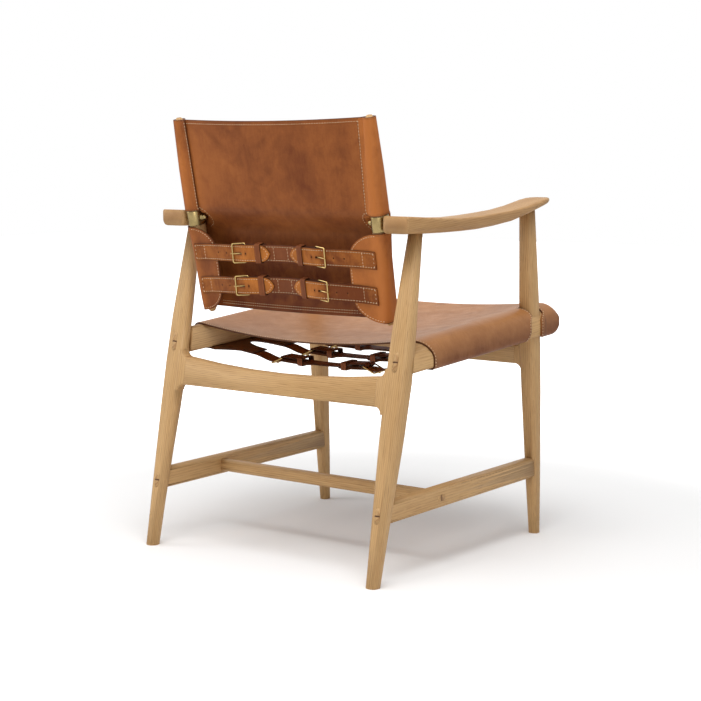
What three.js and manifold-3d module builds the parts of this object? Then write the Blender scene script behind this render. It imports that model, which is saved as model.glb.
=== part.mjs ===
// A lounge chair: a raked oak frame that carries a slung leather seat and a tilting leather back.
// Millimetres, +Z up. The chair faces -Y, and the sitter's left side is +X.
import * as THREE from 'three';
import { mergeVertices } from 'three/addons/utils/BufferGeometryUtils.js';
import Module from 'manifold-3d';

const wasm = await Module();
wasm.setup();

// Layout of the whole chair
const footSpacing = 520;
const footDepth = 525;
const armHeight = 599;
const pivotRise = 18;
const clearance = 0.3;
const overrun = 6;
const weld = 0.001;
const cutterReach = 60;

// Rear legs
const rearRakeShare = 0.2;
const rearLegLeanIn = 2;
const rearFoot = { width: 23, depth: 23, corner: 9, innerShare: 1 };
const rearKnee = { width: 31, depth: 26, corner: 9, innerShare: 1.75 };
const rearHip = { width: 42, depth: 33, corner: 10, innerShare: 2.1 };
const rearTop = { width: 23, depth: 22, corner: 8, innerShare: 1 };
const rearTopDraw = { from: 430, back: 4 };

// Front legs
const frontRakeShare = 0.063;
const frontFoot = { width: 19, depth: 19, corner: 7, innerShare: 1 };
const frontKnee = { width: 25, depth: 27, corner: 8, innerShare: 1 };
const frontHip = { width: 32, depth: 34, corner: 8, innerShare: 1 };
const frontTop = { width: 24, depth: 24, corner: 6, innerShare: 1 };
const frontLegStock = 50;

// Dowel tenons on top of the legs
const dowelDiameter = 13;
const dowelLength = 10;

// Side seat rails
const seatRail = { width: 46, inset: 1 };
const seatRailRear = { bottom: 360, top: 406 };
const seatRailFront = { bottom: 392, top: 446 };
const seatRailShoulder = { across: 30, down: 32 };
const seatRailInnerRound = 10;
const seatRailBottomRound = 5;
const seatRailNose = 24;
const seatRailNosePower = 2.6;
const seatRailOverhang = 52;
const seatRailScribeShare = 0.8;
const lapShare = 0.5;
const halfShare = 0.5;

// Cross rails, which run into haunches on the legs
const crossRailThickness = 22;
const crossRailEdge = 3;
const rearRail = { bottom: 302, height: 51, dip: 13, filletBelow: 12, filletAbove: 15 };
const frontRail = { bottom: 333, height: 36, dip: 8, filletBelow: 14, filletAbove: 11 };
const haunchLength = 14;
const crossTenon = { thickness: 9, length: 24, shoulder: 8 };

// Stretchers
const stretcher = { thickness: 22, height: 38, round: 6, rearHeight: 124, frontHeight: 132 };
const crossStretcher = { depth: 22, height: 23, round: 6, centreY: 72, drop: 1 };

// Through tenons and their wedges
const railTenon = { width: 10, height: 35, drop: 2 };
const stretcherTenon = { width: 10, height: 28, drop: 2 };
const stretcherFrontTenon = 16;
const crossStretcherTenon = { width: 22, height: 11 };
const wedge = { thickness: 2, depth: 16 };

// Armrests
const armWidth = 56;
const armPaddleWidth = 58;
const armRearOverhang = 60;
const armFrontOverhang = 59;
const armInset = 1;
const armRearThickness = 30;
const armTipThickness = 9;
const armRise = 47;
const armTopRound = 4;
const armInnerRound = 7;
const armOuterRound = 11;
const armTipLength = 43;
const armEndEase = 3;

// Back posts
const recline = 12;
const postAbove = 188;
const postBelow = 183;
const postSplayShare = 0.0284;
const postTop = { width: 16, depth: 15, corner: 7 };
const postUpper = { width: 22, depth: 26, corner: 9 };
const postPivot = { width: 24, depth: 32, corner: 10 };
const postLower = { width: 17.5, depth: 28, corner: 8.5 };
const postBottom = { width: 14, depth: 17, corner: 6.5 };
const postDome = 6;
const postWaist = 62;
const postAnkle = 150;
const postUpperShare = 0.5;

// Brass fittings at the pivots
const collar = { height: 27, wall: 2.2 };
const bolt = { diameter: 6, shoulder: 16, shoulderThickness: 1.6, inArm: 16 };
const capNut = { diameter: 14, length: 11, bore: 7 };
const pivotBehindArmEnd = 17;

// Leather
const leather = 2.8;
const backTopEdge = 185;
const backTopDip = 3;
const backBottomEdge = 176;
const panelBow = 7;
const seamBesidePost = 5.5;
const seamBehindPost = 4;
const seamBehindPivot = 8.5;
const flapPastSeam = 3;
const crossOver = 26;
const sleeveBottom = 15.5;
const sleeveRowShares = [0.3, 0.65];
const panelLowShare = 0.625;
const panelRowShares = [0.4, 0.7];
const innerLayerShare = 0.8;
const intoPanel = 3;
const wingTop = 15.5;
const wingBottom = 175.5;
const wingWidth = 60.8;
const wingDepth = 18.4;
const wingTopCorner = { across: 62, down: 46 };
const wingBottomCorner = { across: 60, up: 50 };
const wingRoundStart = 3;
const wingRound = { power: 2.6, powerAtTop: 3.2, ease: 46, steps: 5, powerStep: 0.05 };
const wingBow = { atTop: 3.7, growthShare: 0.07, fromPost: 7.3 };
const cutOutRadius = 18;
const cutOutPastPost = 2;

// Seat leather
const seatRearEdge = 138;
const seatWrapRearEdge = 117;
const seatSagRear = 19;
const seatSagMiddle = 25;
const seatSagFront = 12;
const sagStart = 9;
const flapStart = 5;
const flapWidth = 71;
const flapFrontWidth = 14;
const flapDrop = 20;
const flapCorner = { past: 2, straight: 14 };
const legNotchGap = 2;
const legNotchRound = 22;
const scallop = { depth: 60, width: 46 };
const frontScallop = { depth: 62, width: 116, behindLeg: 40 };

// Straps and buckles
const strap = { width: 32, thickness: 2.6, tip: 18, fold: 44 };
const strapHole = 4;
const prongSlot = 18;
const prongPlace = 11.5;
const keeper = { width: 13, thickness: 1.8 };
const buckle = { length: 25, wire: 2.6, side: 0.4 };
const prong = 2.2;
const backRow = { bar: 107.5, pastWing: 4.5, tip: 24, keeper: 49, barRise: 5, holes: [125, 147] };
const seatRow = { bar: 122, onFlap: 40, pastFlap: 1, tip: 28, keeper: 52, barRise: 11, holes: [] };
const backRows = [
  { name: 'upper_back', height: -62, rise: 4.5, fromPost: 3.3 },
  { name: 'lower_back', height: -126.5, rise: 9, fromPost: 8.3 },
];
const risePower = 3;
const layGapShare = 0.004;
const seatRowPlaces = [60, -30, -120];

// Finishes
const oak = new THREE.MeshStandardMaterial({ color: 0xcda26c, roughness: 0.55, metalness: 0 });
const wedgeWood = new THREE.MeshStandardMaterial({ color: 0x6b4526, roughness: 0.6, metalness: 0 });
const brass = new THREE.MeshStandardMaterial({ color: 0xc9b27c, roughness: 0.25, metalness: 1 });
const saddle = new THREE.MeshStandardMaterial({ color: 0x8c4a26, roughness: 0.5, metalness: 0 });
const strapLeather = new THREE.MeshStandardMaterial({ color: 0xa0592c, roughness: 0.5, metalness: 0 });

// A geometry becomes a solid once its shared points are one and its empty triangles are gone
function solidOf(geometry) {
  const bare = geometry.clone();
  bare.deleteAttribute('normal');
  bare.deleteAttribute('uv');
  const merged = mergeVertices(bare, weld);
  const index = merged.index.array;
  const triangles = [];
  for (let i = 0; i < index.length; i += 3) {
    const [a, b, c] = [index[i], index[i + 1], index[i + 2]];
    if (a !== b && b !== c && c !== a) triangles.push(a, b, c);
  }
  const vertProperties = new Float32Array(merged.attributes.position.array);
  const mesh = new wasm.Mesh({ numProp: 3, vertProperties, triVerts: new Uint32Array(triangles) });
  return new wasm.Manifold(mesh);
}

function geometryOf(solid) {
  const mesh = solid.getMesh();
  const geometry = new THREE.BufferGeometry();
  geometry.setAttribute('position', new THREE.Float32BufferAttribute(mesh.vertProperties, 3));
  geometry.setIndex(Array.from(mesh.triVerts));
  return geometry;
}

// The same piece for the other side of the chair
function mirrored(geometry) {
  const other = geometry.clone();
  other.scale(-1, 1, 1);
  const index = Array.from(other.index.array);
  for (let i = 0; i < index.length; i += 3) {
    [index[i + 1], index[i + 2]] = [index[i + 2], index[i + 1]];
  }
  other.setIndex(index);
  return other;
}

// A closed skin through rings of equal count, with its faces turned outwards
function loft(rings, closed = false) {
  const count = rings[0].length;
  const points = rings.flat();
  const triangles = [];
  const spans = closed ? rings.length : rings.length - 1;
  for (let ring = 0; ring < spans; ring += 1) {
    const next = (ring + 1) % rings.length;
    for (let i = 0; i < count; i += 1) {
      const j = (i + 1) % count;
      const [a, b] = [ring * count + i, ring * count + j];
      const [c, d] = [next * count + j, next * count + i];
      triangles.push(a, b, c, a, c, d);
    }
  }
  if (!closed) {
    const last = (rings.length - 1) * count;
    for (let i = 1; i < count - 1; i += 1) {
      triangles.push(0, i + 1, i);
      triangles.push(last, last + i, last + i + 1);
    }
  }
  const geometry = new THREE.BufferGeometry();
  geometry.setAttribute('position', new THREE.Float32BufferAttribute(points.flat(), 3));
  geometry.setIndex(volumeOf(points, triangles) < 0 ? triangles.reverse() : triangles);
  return geometry;
}

function volumeOf(points, triangles) {
  let six = 0;
  for (let i = 0; i < triangles.length; i += 3) {
    const [a, b, c] = [0, 1, 2].map((k) => new THREE.Vector3(...points[triangles[i + k]]));
    six += a.dot(b.cross(c));
  }
  return six / 6;
}

// A rectangle with its own ellipse at each corner, as pairs from the +,+ corner round to the +,- one
function section(width, height, rounds, steps = 4) {
  const signs = [[1, 1], [-1, 1], [-1, -1], [1, -1]];
  return signs.flatMap(([sideways, upwards], corner) => {
    const [across, down] = rounds[corner];
    return Array.from({ length: steps + 1 }, (_, step) => {
      const angle = (corner + step / steps) * Math.PI / 2;
      return [
        sideways * (width / 2 - across) + across * Math.cos(angle),
        upwards * (height / 2 - down) + down * Math.sin(angle),
      ];
    });
  });
}

function evenRounds(round) {
  return [0, 1, 2, 3].map(() => [round, round]);
}

// Sizes between named stations follow one smooth curve
function alongStations(stations, Curve = THREE.CubicInterpolant) {
  const places = stations.map(([place]) => place);
  const values = stations.flatMap(([, ...sizes]) => sizes);
  const curve = new Curve(places, values, stations[0].length - 1);
  return (place) => Array.from(curve.evaluate(place));
}

function mix(from, to, share) {
  return from + (to - from) * share;
}

function smooth(share) {
  return THREE.MathUtils.smoothstep(share, 0, 1);
}

function box(low, high) {
  const size = low.map((value, axis) => high[axis] - value);
  const geometry = new THREE.BoxGeometry(...size);
  geometry.translate(...low.map((value, axis) => (high[axis] + value) / 2));
  return solidOf(geometry);
}

// An outline drawn in x and z, given a thickness along y that ends at the plane y = 0
function slab(shape, thickness, edge = 0) {
  const bevel = { bevelEnabled: edge > 0, bevelSize: edge, bevelThickness: edge, bevelOffset: -edge };
  const steps = { bevelSegments: 2, curveSegments: 6 };
  const geometry = new THREE.ExtrudeGeometry(shape, { depth: thickness - 2 * edge, ...steps, ...bevel });
  geometry.rotateX(Math.PI / 2);
  geometry.translate(0, -edge, 0);
  return geometry;
}

// Every point moves to where the rule puts it
function moved(geometry, rule) {
  const places = geometry.attributes.position;
  for (let i = 0; i < places.count; i += 1) {
    places.setXYZ(i, ...rule(places.getX(i), places.getY(i), places.getZ(i)));
  }
  return geometry;
}

// Every point moves back or forward by what the lean is at its height
const leaned = (geometry, lean) => moved(geometry, (x, y, z) => [x, y + lean(z), z]);

const chair = new THREE.Group();

function piece(name, solid, material, parent = chair) {
  const mesh = new THREE.Mesh(geometryOf(solid), material);
  mesh.name = name;
  parent.add(mesh);
  return mesh;
}

function pair(name, solid, material, parent = chair) {
  piece(`${name}_left`, solid, material, parent);
  const mesh = new THREE.Mesh(mirrored(geometryOf(solid)), material);
  mesh.name = `${name}_right`;
  parent.add(mesh);
}

// Where the legs stand
const legX = footSpacing / 2;
const rearFootBack = footDepth / 2 + rearFoot.depth / 2;
const rearFaceY = (z) => rearFootBack - rearRakeShare * z;
const frontLegY = (z) => -footDepth / 2 + frontRakeShare * z;
const rearLegX = (z) => legX - rearLegLeanIn * z / armHeight;

// Side rail heights along the chair, from the middle of the rear leg to the front end
const railMiddleHeight = (seatRailRear.bottom + seatRailRear.top) / 2;
const railRearY = rearFaceY(railMiddleHeight) - rearHip.depth + rearHip.corner * seatRailScribeShare;
const railFrontY = frontLegY(railMiddleHeight) - seatRailOverhang - frontHip.depth / 2;
const railShare = (y) => (railRearY - y) / (railRearY - railFrontY);
const railBottom = (y) => mix(seatRailRear.bottom, seatRailFront.bottom, railShare(y));
const railTop = (y) => mix(seatRailRear.top, seatRailFront.top, railShare(y));
const railX = legX - seatRail.inset;
const railInnerX = railX - seatRail.width / 2;
const railOuterX = railX + seatRail.width / 2;
const lapX = mix(railInnerX, railOuterX, lapShare);
const legSteps = 7;
const tenonSteps = 2;

// Legs
function legSolid(stations, height, centre, extra = 0) {
  const sizes = alongStations(stations);
  const rings = Array.from({ length: legSteps + 1 }, (_, step) => {
    const z = height * step / legSteps;
    const [width, depth, corner, innerShare] = sizes(z);
    const round = corner + extra;
    const inner = corner * innerShare + extra;
    const rounds = [[round, round], [round, round], [inner, inner], [round, round]];
    const outline = section(width + 2 * extra, depth + 2 * extra, rounds, 3);
    const [x, y] = centre(z, depth);
    return outline.map(([across, back]) => [x + across, y + back, z]);
  });
  return solidOf(loft(rings));
}

const legSizes = ({ width, depth, corner, innerShare }) => [width, depth, corner, innerShare];
const rearLegHeight = armHeight - clearance;
const rearStations = [
  [0, ...legSizes(rearFoot)],
  [stretcher.rearHeight, ...legSizes(rearKnee)],
  [rearRail.bottom, ...legSizes(rearHip)],
  [railMiddleHeight, ...legSizes(rearHip)],
  [rearLegHeight, ...legSizes(rearTop)],
];
const drawn = (z) => rearTopDraw.back * smooth((z - rearTopDraw.from) / (armHeight - rearTopDraw.from));
const rearCentre = (z, depth) => [rearLegX(z), rearFaceY(z) - drawn(z) - depth / 2];
const rearLegBlank = (extra) => legSolid(rearStations, rearLegHeight, rearCentre, extra);

const frontLegHeight = armHeight + frontLegStock;
const frontRailMiddle = frontRail.bottom + frontRail.height / 2;
const frontLapY = frontLegY(railMiddleHeight);
const frontLapHeight = (railBottom(frontLapY) + railTop(frontLapY)) / 2;
const frontStations = [
  [0, ...legSizes(frontFoot)],
  [stretcher.frontHeight, ...legSizes(frontKnee)],
  [frontRailMiddle, ...legSizes(frontHip)],
  [frontLapHeight, ...legSizes(frontHip)],
  [frontLegHeight, ...legSizes(frontTop)],
];
const frontCentre = (z) => [legX, frontLegY(z)];
const frontLegBlank = (extra) => legSolid(frontStations, frontLegHeight, frontCentre, extra);

// A cross member with a dip in its top edge and a fillet into each leg, split at the shoulders
function crossMember(rail, legInnerX, face) {
  const top = rail.bottom + rail.height;
  const bite = crossRailThickness / 2;
  const [belowX, belowZ] = [legInnerX - rail.filletBelow, rail.bottom - rail.filletBelow];
  const [aboveX, aboveZ] = [legInnerX - rail.filletAbove, top + rail.filletAbove];
  const shape = new THREE.Shape();
  shape.moveTo(-legInnerX - bite, belowZ);
  shape.lineTo(-legInnerX, belowZ);
  shape.absarc(-belowX, belowZ, rail.filletBelow, Math.PI, Math.PI / 2, true);
  shape.lineTo(belowX, rail.bottom);
  shape.absarc(belowX, belowZ, rail.filletBelow, Math.PI / 2, 0, true);
  shape.lineTo(legInnerX + bite, belowZ);
  shape.lineTo(legInnerX + bite, aboveZ);
  shape.lineTo(legInnerX, aboveZ);
  shape.absarc(aboveX, aboveZ, rail.filletAbove, 0, -Math.PI / 2, true);
  shape.quadraticCurveTo(0, top - 2 * rail.dip, -aboveX, top);
  shape.absarc(-aboveX, aboveZ, rail.filletAbove, -Math.PI / 2, -Math.PI, true);
  shape.lineTo(-legInnerX - bite, aboveZ);
  return solidOf(leaned(slab(shape, crossRailThickness, crossRailEdge), face));
}

function crossTenonSolid(rail, shoulderX, face, extra) {
  const low = rail.bottom + crossTenon.shoulder - extra;
  const high = rail.bottom + rail.height - crossTenon.shoulder + extra;
  const end = shoulderX + crossTenon.length + extra;
  const shape = new THREE.Shape([
    new THREE.Vector2(shoulderX - crossTenon.shoulder, low),
    new THREE.Vector2(end, low),
    new THREE.Vector2(end, high),
    new THREE.Vector2(shoulderX - crossTenon.shoulder, high),
  ]);
  const geometry = slab(shape, crossTenon.thickness + 2 * extra);
  geometry.translate(0, (crossTenon.thickness - crossRailThickness) / 2 + extra, 0);
  return solidOf(leaned(geometry, face));
}

function halfSpace(fromX, toX) {
  const far = footDepth + cutterReach;
  return box([fromX, -far, -cutterReach], [toX, far, armHeight + cutterReach]);
}

function crossRailSet(rail, legInnerX, face) {
  const shoulderX = legInnerX - haunchLength;
  const member = crossMember(rail, legInnerX, face);
  const tenon = crossTenonSolid(rail, shoulderX, face, 0);
  const otherTenon = solidOf(mirrored(geometryOf(tenon)));
  const middle = member.intersect(halfSpace(-shoulderX, shoulderX)).add(tenon).add(otherTenon);
  const haunch = member.intersect(halfSpace(shoulderX + clearance, legInnerX + crossRailThickness));
  return { middle, haunch, mortise: crossTenonSolid(rail, shoulderX, face, clearance) };
}

const rearInnerX = rearLegX(rearRail.bottom + rearRail.height / 2) - rearHip.width / 2;
const frontInnerX = legX - frontHip.width / 2;
const frontFaceY = (z) => frontLegY(z) + crossRailThickness / 2;
const rearCross = crossRailSet(rearRail, rearInnerX, rearFaceY);
const frontCross = crossRailSet(frontRail, frontInnerX, frontFaceY);

// A through tenon with round ends, from inside its rail to the raked back of the leg
function throughTenon(tenon, x, z, fromY, extra, past = 0) {
  const round = tenon.width / 2 + extra;
  const size = [tenon.width + 2 * extra, tenon.height + 2 * extra];
  const outline = section(...size, evenRounds(round), tenonSteps);
  const front = outline.map(([across, up]) => [x + across, fromY, z + up]);
  const back = outline.map(([across, up]) => [x + across, rearFaceY(z + up) + past, z + up]);
  return solidOf(loft([front, back]));
}

function wedgeIn(tenon, x, z, extra) {
  const half = wedge.thickness / 2 + extra;
  const side = tenon.width / 2 + (extra > 0 ? overrun : 0);
  const deep = rearFaceY(z) - wedge.depth - extra;
  const past = extra > 0 ? overrun : 0;
  const outline = [[-side, -half], [side, -half], [side, half], [-side, half]];
  const front = outline.map(([across, up]) => [x + across, deep, z + up]);
  const back = outline.map(([across, up]) => [x + across, rearFaceY(z + up) + past, z + up]);
  return solidOf(loft([front, back]));
}

// Side seat rails: a D section that rises to the front and ends in a round nose
const noseSteps = 4;
const shoulderSteps = 4;
const noseShare = 0.92;

// The rail's section at a place along the chair, drawn in by the round nose
function railSize(y) {
  const intoNose = Math.max(0, railFrontY + seatRailNose - y) / seatRailNose;
  const power = seatRailNosePower;
  const share = (1 - Math.min(noseShare, intoNose) ** power) ** (1 / power);
  const middle = (railBottom(y) + railTop(y)) / 2;
  const height = (railTop(y) - railBottom(y)) * share;
  return { bottom: middle - height / 2, top: middle + height / 2, share };
}

const straightEnd = railFrontY + seatRailNose;
const nosePlaces = Array.from({ length: noseSteps + 1 }, (_, step) => (
  straightEnd - seatRailNose * noseShare * Math.sin(step / noseSteps * Math.PI / 2)
));

function railBlank(extra) {
  const places = [railRearY, mix(railRearY, straightEnd, halfShare), ...nosePlaces];
  const rings = places.map((y) => {
    const { bottom, top, share } = railSize(y);
    const rounds = [
      [seatRailShoulder.across + extra, seatRailShoulder.down * share + extra],
      [seatRailInnerRound + extra, seatRailInnerRound * share + extra],
      [seatRailBottomRound + extra, seatRailBottomRound * share + extra],
      [seatRailBottomRound + extra, seatRailBottomRound * share + extra],
    ];
    const size = [seatRail.width + 2 * extra, top - bottom + 2 * extra];
    const outline = section(...size, rounds, shoulderSteps);
    const rake = y === railRearY ? rearRakeShare : 0;
    return outline.map(([across, up]) => [railX + across, y - rake * up, (bottom + top) / 2 + up]);
  });
  return solidOf(loft(rings));
}

const railTenonHeight = mix(railBottom(railRearY), railTop(railRearY), halfShare) - railTenon.drop;
const railTenonRootY = railRearY - rearHip.depth;
const railTenonAt = (extra, past) => (
  throughTenon(railTenon, rearLegX(railTenonHeight), railTenonHeight, railTenonRootY, extra, past)
);
const lapHalf = clearance / 2;
const outerHalf = halfSpace(lapX - lapHalf, legX + footSpacing / 2);
const innerHalf = halfSpace(0, lapX + lapHalf);
const railWedge = (extra) => wedgeIn(railTenon, rearLegX(railTenonHeight), railTenonHeight, extra);
const sideRail = railBlank(0)
  .subtract(rearLegBlank(clearance))
  .subtract(frontLegBlank(clearance).intersect(outerHalf))
  .add(railTenonAt(0, 0).subtract(railWedge(clearance)));
pair('side_rail', sideRail, oak);
pair('side_rail_wedge', railWedge(0), wedgeWood);

// Side stretchers
const stretcherRearY = rearFaceY(stretcher.rearHeight) - rearKnee.depth / 2;
const stretcherFrontY = frontLegY(stretcher.frontHeight);
const stretcherX = rearLegX(stretcher.rearHeight) - clearance;

function stretcherBlank(rearY, frontY) {
  const outline = section(stretcher.thickness, stretcher.height, evenRounds(stretcher.round), 3);
  const ends = [[rearY, stretcher.rearHeight], [frontY, stretcher.frontHeight]];
  const rings = ends.map(([y, z]) => outline.map(([across, up]) => [stretcherX + across, y, z + up]));
  return solidOf(loft(rings));
}

function stretcherFrontTenonSolid(extra) {
  const round = stretcherTenon.width / 2 + extra;
  const size = [stretcherTenon.width + 2 * extra, stretcherTenon.height + 2 * extra];
  const outline = section(...size, evenRounds(round), tenonSteps);
  const rootY = stretcherFrontY + frontKnee.depth;
  const endY = stretcherFrontY + frontKnee.depth / 2 - stretcherFrontTenon - extra;
  const rings = [rootY, endY].map((y) => (
    outline.map(([across, up]) => [stretcherX + across, y, stretcher.frontHeight + up])
  ));
  return solidOf(loft(rings));
}

const stretcherTenonHeight = stretcher.rearHeight - stretcherTenon.drop;
const stretcherRootY = stretcherRearY - rearKnee.depth;
const stretcherTenonAt = (extra, past) => (
  throughTenon(stretcherTenon, stretcherX, stretcherTenonHeight, stretcherRootY, extra, past)
);
const stretcherWedge = (extra) => wedgeIn(stretcherTenon, stretcherX, stretcherTenonHeight, extra);

// Cross stretcher, tenoned through both side stretchers
const crossStretcherHeight = (
  mix(stretcher.rearHeight, stretcher.frontHeight,
    (stretcherRearY - crossStretcher.centreY) / (stretcherRearY - stretcherFrontY))
  - crossStretcher.drop
);
const stretcherInnerX = stretcherX - stretcher.thickness / 2;
const stretcherOuterX = stretcherX + stretcher.thickness / 2;

function barAcross(depth, height, round, endX) {
  const outline = section(depth, height, evenRounds(round), 3);
  const rings = [-endX, endX].map((x) => (
    outline.map(([back, up]) => [x, crossStretcher.centreY + back, crossStretcherHeight + up])
  ));
  return solidOf(loft(rings));
}

function crossTenonAt(extra, endX) {
  const depth = crossStretcherTenon.width + 2 * extra;
  const height = crossStretcherTenon.height + 2 * extra;
  return barAcross(depth, height, crossStretcherTenon.height / 2 + extra, endX);
}

function crossWedge(extra) {
  const half = wedge.thickness / 2 + extra;
  const high = crossStretcherTenon.height / 2 + (extra > 0 ? overrun : 0);
  const inX = stretcherOuterX - wedge.depth - extra;
  const outX = stretcherOuterX + (extra > 0 ? overrun : 0);
  return box(
    [inX, crossStretcher.centreY - half, crossStretcherHeight - high],
    [outX, crossStretcher.centreY + half, crossStretcherHeight + high],
  );
}

const wedgeCuts = crossWedge(clearance).add(solidOf(mirrored(geometryOf(crossWedge(clearance)))));
const barEnd = stretcherInnerX - clearance;
const bar = barAcross(crossStretcher.depth, crossStretcher.height, crossStretcher.round, barEnd);
piece('cross_stretcher', bar.add(crossTenonAt(0, stretcherOuterX).subtract(wedgeCuts)), oak);
pair('cross_stretcher_wedge', crossWedge(0), wedgeWood);

const sideStretcher = stretcherBlank(stretcherRearY, stretcherFrontY)
  .subtract(rearLegBlank(clearance))
  .subtract(frontLegBlank(clearance))
  .subtract(crossTenonAt(clearance, stretcherOuterX + overrun))
  .add(stretcherTenonAt(0, 0).subtract(stretcherWedge(clearance)))
  .add(stretcherFrontTenonSolid(0));
pair('side_stretcher', sideStretcher, oak);
pair('side_stretcher_wedge', stretcherWedge(0), wedgeWood);

// Armrests
const [, rearLegTopY] = rearCentre(armHeight, rearTop.depth);
const frontLegTopY = frontLegY(armHeight);
const armRearY = rearLegTopY + armRearOverhang;
const armFrontY = frontLegTopY - armFrontOverhang;
const armX = legX - armInset;
const armInnerX = armX - armWidth / 2;

// Place along the arm, rise of its underside, thickness and width, each as a share
const armShares = [
  [0.00, 0.03, 1.00, 0.0],
  [0.14, 0.00, 0.88, 0.0],
  [0.31, 0.00, 0.71, 0.0],
  [0.45, 0.03, 0.72, 0.1],
  [0.59, 0.14, 0.65, 0.3],
  [0.73, 0.33, 0.48, 0.7],
  [0.84, 0.62, 0.22, 1.0],
  [0.93, 0.85, 0.08, 1.0],
  [1.00, 1.00, 0.00, 1.0],
];
const armAt = alongStations(armShares);
const armSteps = 8;
const tipSteps = 4;
const tipRoundShare = 0.97;
const armRoundShare = 0.46;

function armRing(y, squeeze, extra, stock) {
  const [rise, thick, wide] = armAt((armRearY - y) / (armRearY - armFrontY));
  const wood = mix(armTipThickness, armRearThickness, thick) * mix(halfShare, 1, squeeze);
  const thickness = wood + 2 * extra + stock;
  const width = mix(armWidth, armPaddleWidth, wide) * squeeze + 2 * extra;
  const low = armHeight + armRise * rise - extra;
  const round = (size) => Math.min(size, thickness * armRoundShare, width * armRoundShare);
  const corners = [armTopRound, armTopRound, armInnerRound, armOuterRound];
  const rounds = corners.map((size) => [round(size), round(size)]);
  const outline = section(width, thickness, rounds, 3);
  return outline.map(([across, up]) => [armX + across, y, low + thickness / 2 + up]);
}

function armBlank(extra = 0, stock = 0) {
  const rings = [];
  const easedShare = 1 - 2 * armEndEase / armWidth;
  rings.push(armRing(armRearY, easedShare, extra, stock));
  const tipStart = armFrontY + armTipLength;
  for (let step = 0; step <= armSteps; step += 1) {
    rings.push(armRing(mix(armRearY - armEndEase, tipStart, step / armSteps), 1, extra, stock));
  }
  for (let step = 1; step <= tipSteps; step += 1) {
    const share = Math.sin(step / tipSteps * Math.PI / 2) * tipRoundShare;
    rings.push(armRing(tipStart - armTipLength * share, Math.sqrt(1 - share ** 2), extra, stock));
  }
  return solidOf(loft(rings));
}

function dowelAt(x, y, z, extra) {
  const radius = dowelDiameter / 2 + extra;
  const height = dowelLength + overrun + extra;
  const geometry = new THREE.CylinderGeometry(radius, radius, height, 12);
  geometry.rotateX(Math.PI / 2);
  geometry.translate(x, y, z - overrun + height / 2);
  return solidOf(geometry);
}

const [frontLegTopRise] = armAt((armRearY - frontLegTopY) / (armRearY - armFrontY));
const frontLegTopHeight = armHeight + armRise * frontLegTopRise;
const rearDowel = (extra) => dowelAt(rearLegX(armHeight), rearLegTopY, armHeight, extra);
const frontDowel = (extra) => dowelAt(legX, frontLegTopY, frontLegTopHeight, extra);

// Pivot of the back
const pivotY = armRearY - pivotBehindArmEnd;
const pivotZ = armHeight + pivotRise;
const postX = armInnerX - 3 * clearance - bolt.shoulderThickness - collar.wall - postPivot.width / 2;

// Revolved pieces lie along x, with their profile in distance from the outer end and radius
function turned(profile, outerX, sides = 10) {
  const points = profile.map(([along, radius]) => new THREE.Vector2(radius, along));
  const geometry = new THREE.LatheGeometry(points, sides);
  geometry.rotateZ(Math.PI / 2);
  geometry.translate(outerX, 0, 0);
  return geometry;
}

const collarInnerX = postX - postPivot.width / 2 - clearance - collar.wall;
const shoulderStart = bolt.inArm + clearance;
const boltLength = bolt.inArm + armInnerX - collarInnerX + capNut.bore;
const boltRadius = bolt.diameter / 2;
function boltSolid(extra) {
  const radius = boltRadius + extra;
  const shoulder = bolt.shoulder / 2 + extra;
  return turned([
    [-extra, 0],
    [-extra, radius],
    [shoulderStart - extra, radius],
    [shoulderStart - extra, shoulder],
    [shoulderStart + bolt.shoulderThickness + extra, shoulder],
    [shoulderStart + bolt.shoulderThickness + extra, radius],
    [boltLength + extra, radius],
    [boltLength + extra, 0],
  ], armInnerX + bolt.inArm);
}

const nutRadius = capNut.diameter / 2;
const nutFlangeShare = 0.25;
const nutDomeShare = 0.55;
const nutWaistShare = 0.8;
const nutCrown = { placeShare: 0.85, radiusShare: 0.55 };
const nut = turned([
  [0, boltRadius + clearance],
  [0, nutRadius],
  [capNut.length * nutFlangeShare, nutRadius],
  [capNut.length * nutDomeShare, nutRadius * nutWaistShare],
  [capNut.length * nutCrown.placeShare, nutRadius * nutCrown.radiusShare],
  [capNut.length, 0],
  [capNut.bore + clearance, 0],
  [capNut.bore + clearance, boltRadius + clearance],
  [0, boltRadius + clearance],
], collarInnerX - clearance);

const pivot = new THREE.Group();
pivot.position.set(0, pivotY, pivotZ);
chair.add(pivot);
pair('pivot_bolt', solidOf(boltSolid(0)), brass, pivot);
pair('pivot_nut', solidOf(nut), brass, pivot);

const boltInArm = solidOf(boltSolid(clearance).translate(0, pivotY, pivotZ));
const armrest = armBlank()
  .subtract(rearDowel(clearance))
  .subtract(frontDowel(clearance))
  .subtract(boltInArm);
pair('armrest', armrest, oak);

const rearLeg = rearLegBlank(0)
  .add(rearCross.haunch)
  .subtract(rearCross.mortise)
  .subtract(railTenonAt(clearance, overrun))
  .subtract(stretcherTenonAt(clearance, overrun))
  .add(rearDowel(0));
pair('rear_leg', rearLeg, oak);

const frontLeg = frontLegBlank(0)
  .add(frontCross.haunch)
  .subtract(frontCross.mortise)
  .subtract(railBlank(clearance).intersect(innerHalf))
  .subtract(stretcherFrontTenonSolid(clearance))
  .subtract(armBlank(clearance, cutterReach))
  .add(frontDowel(0));
pair('front_leg', frontLeg, oak);
piece('rear_rail', rearCross.middle, oak);
piece('front_rail', frontCross.middle, oak);

// The back is drawn upright round its pivot and then leaned back
const back = new THREE.Group();
back.position.set(0, pivotY, pivotZ);
back.rotation.x = -THREE.MathUtils.degToRad(recline);
chair.add(back);

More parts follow.
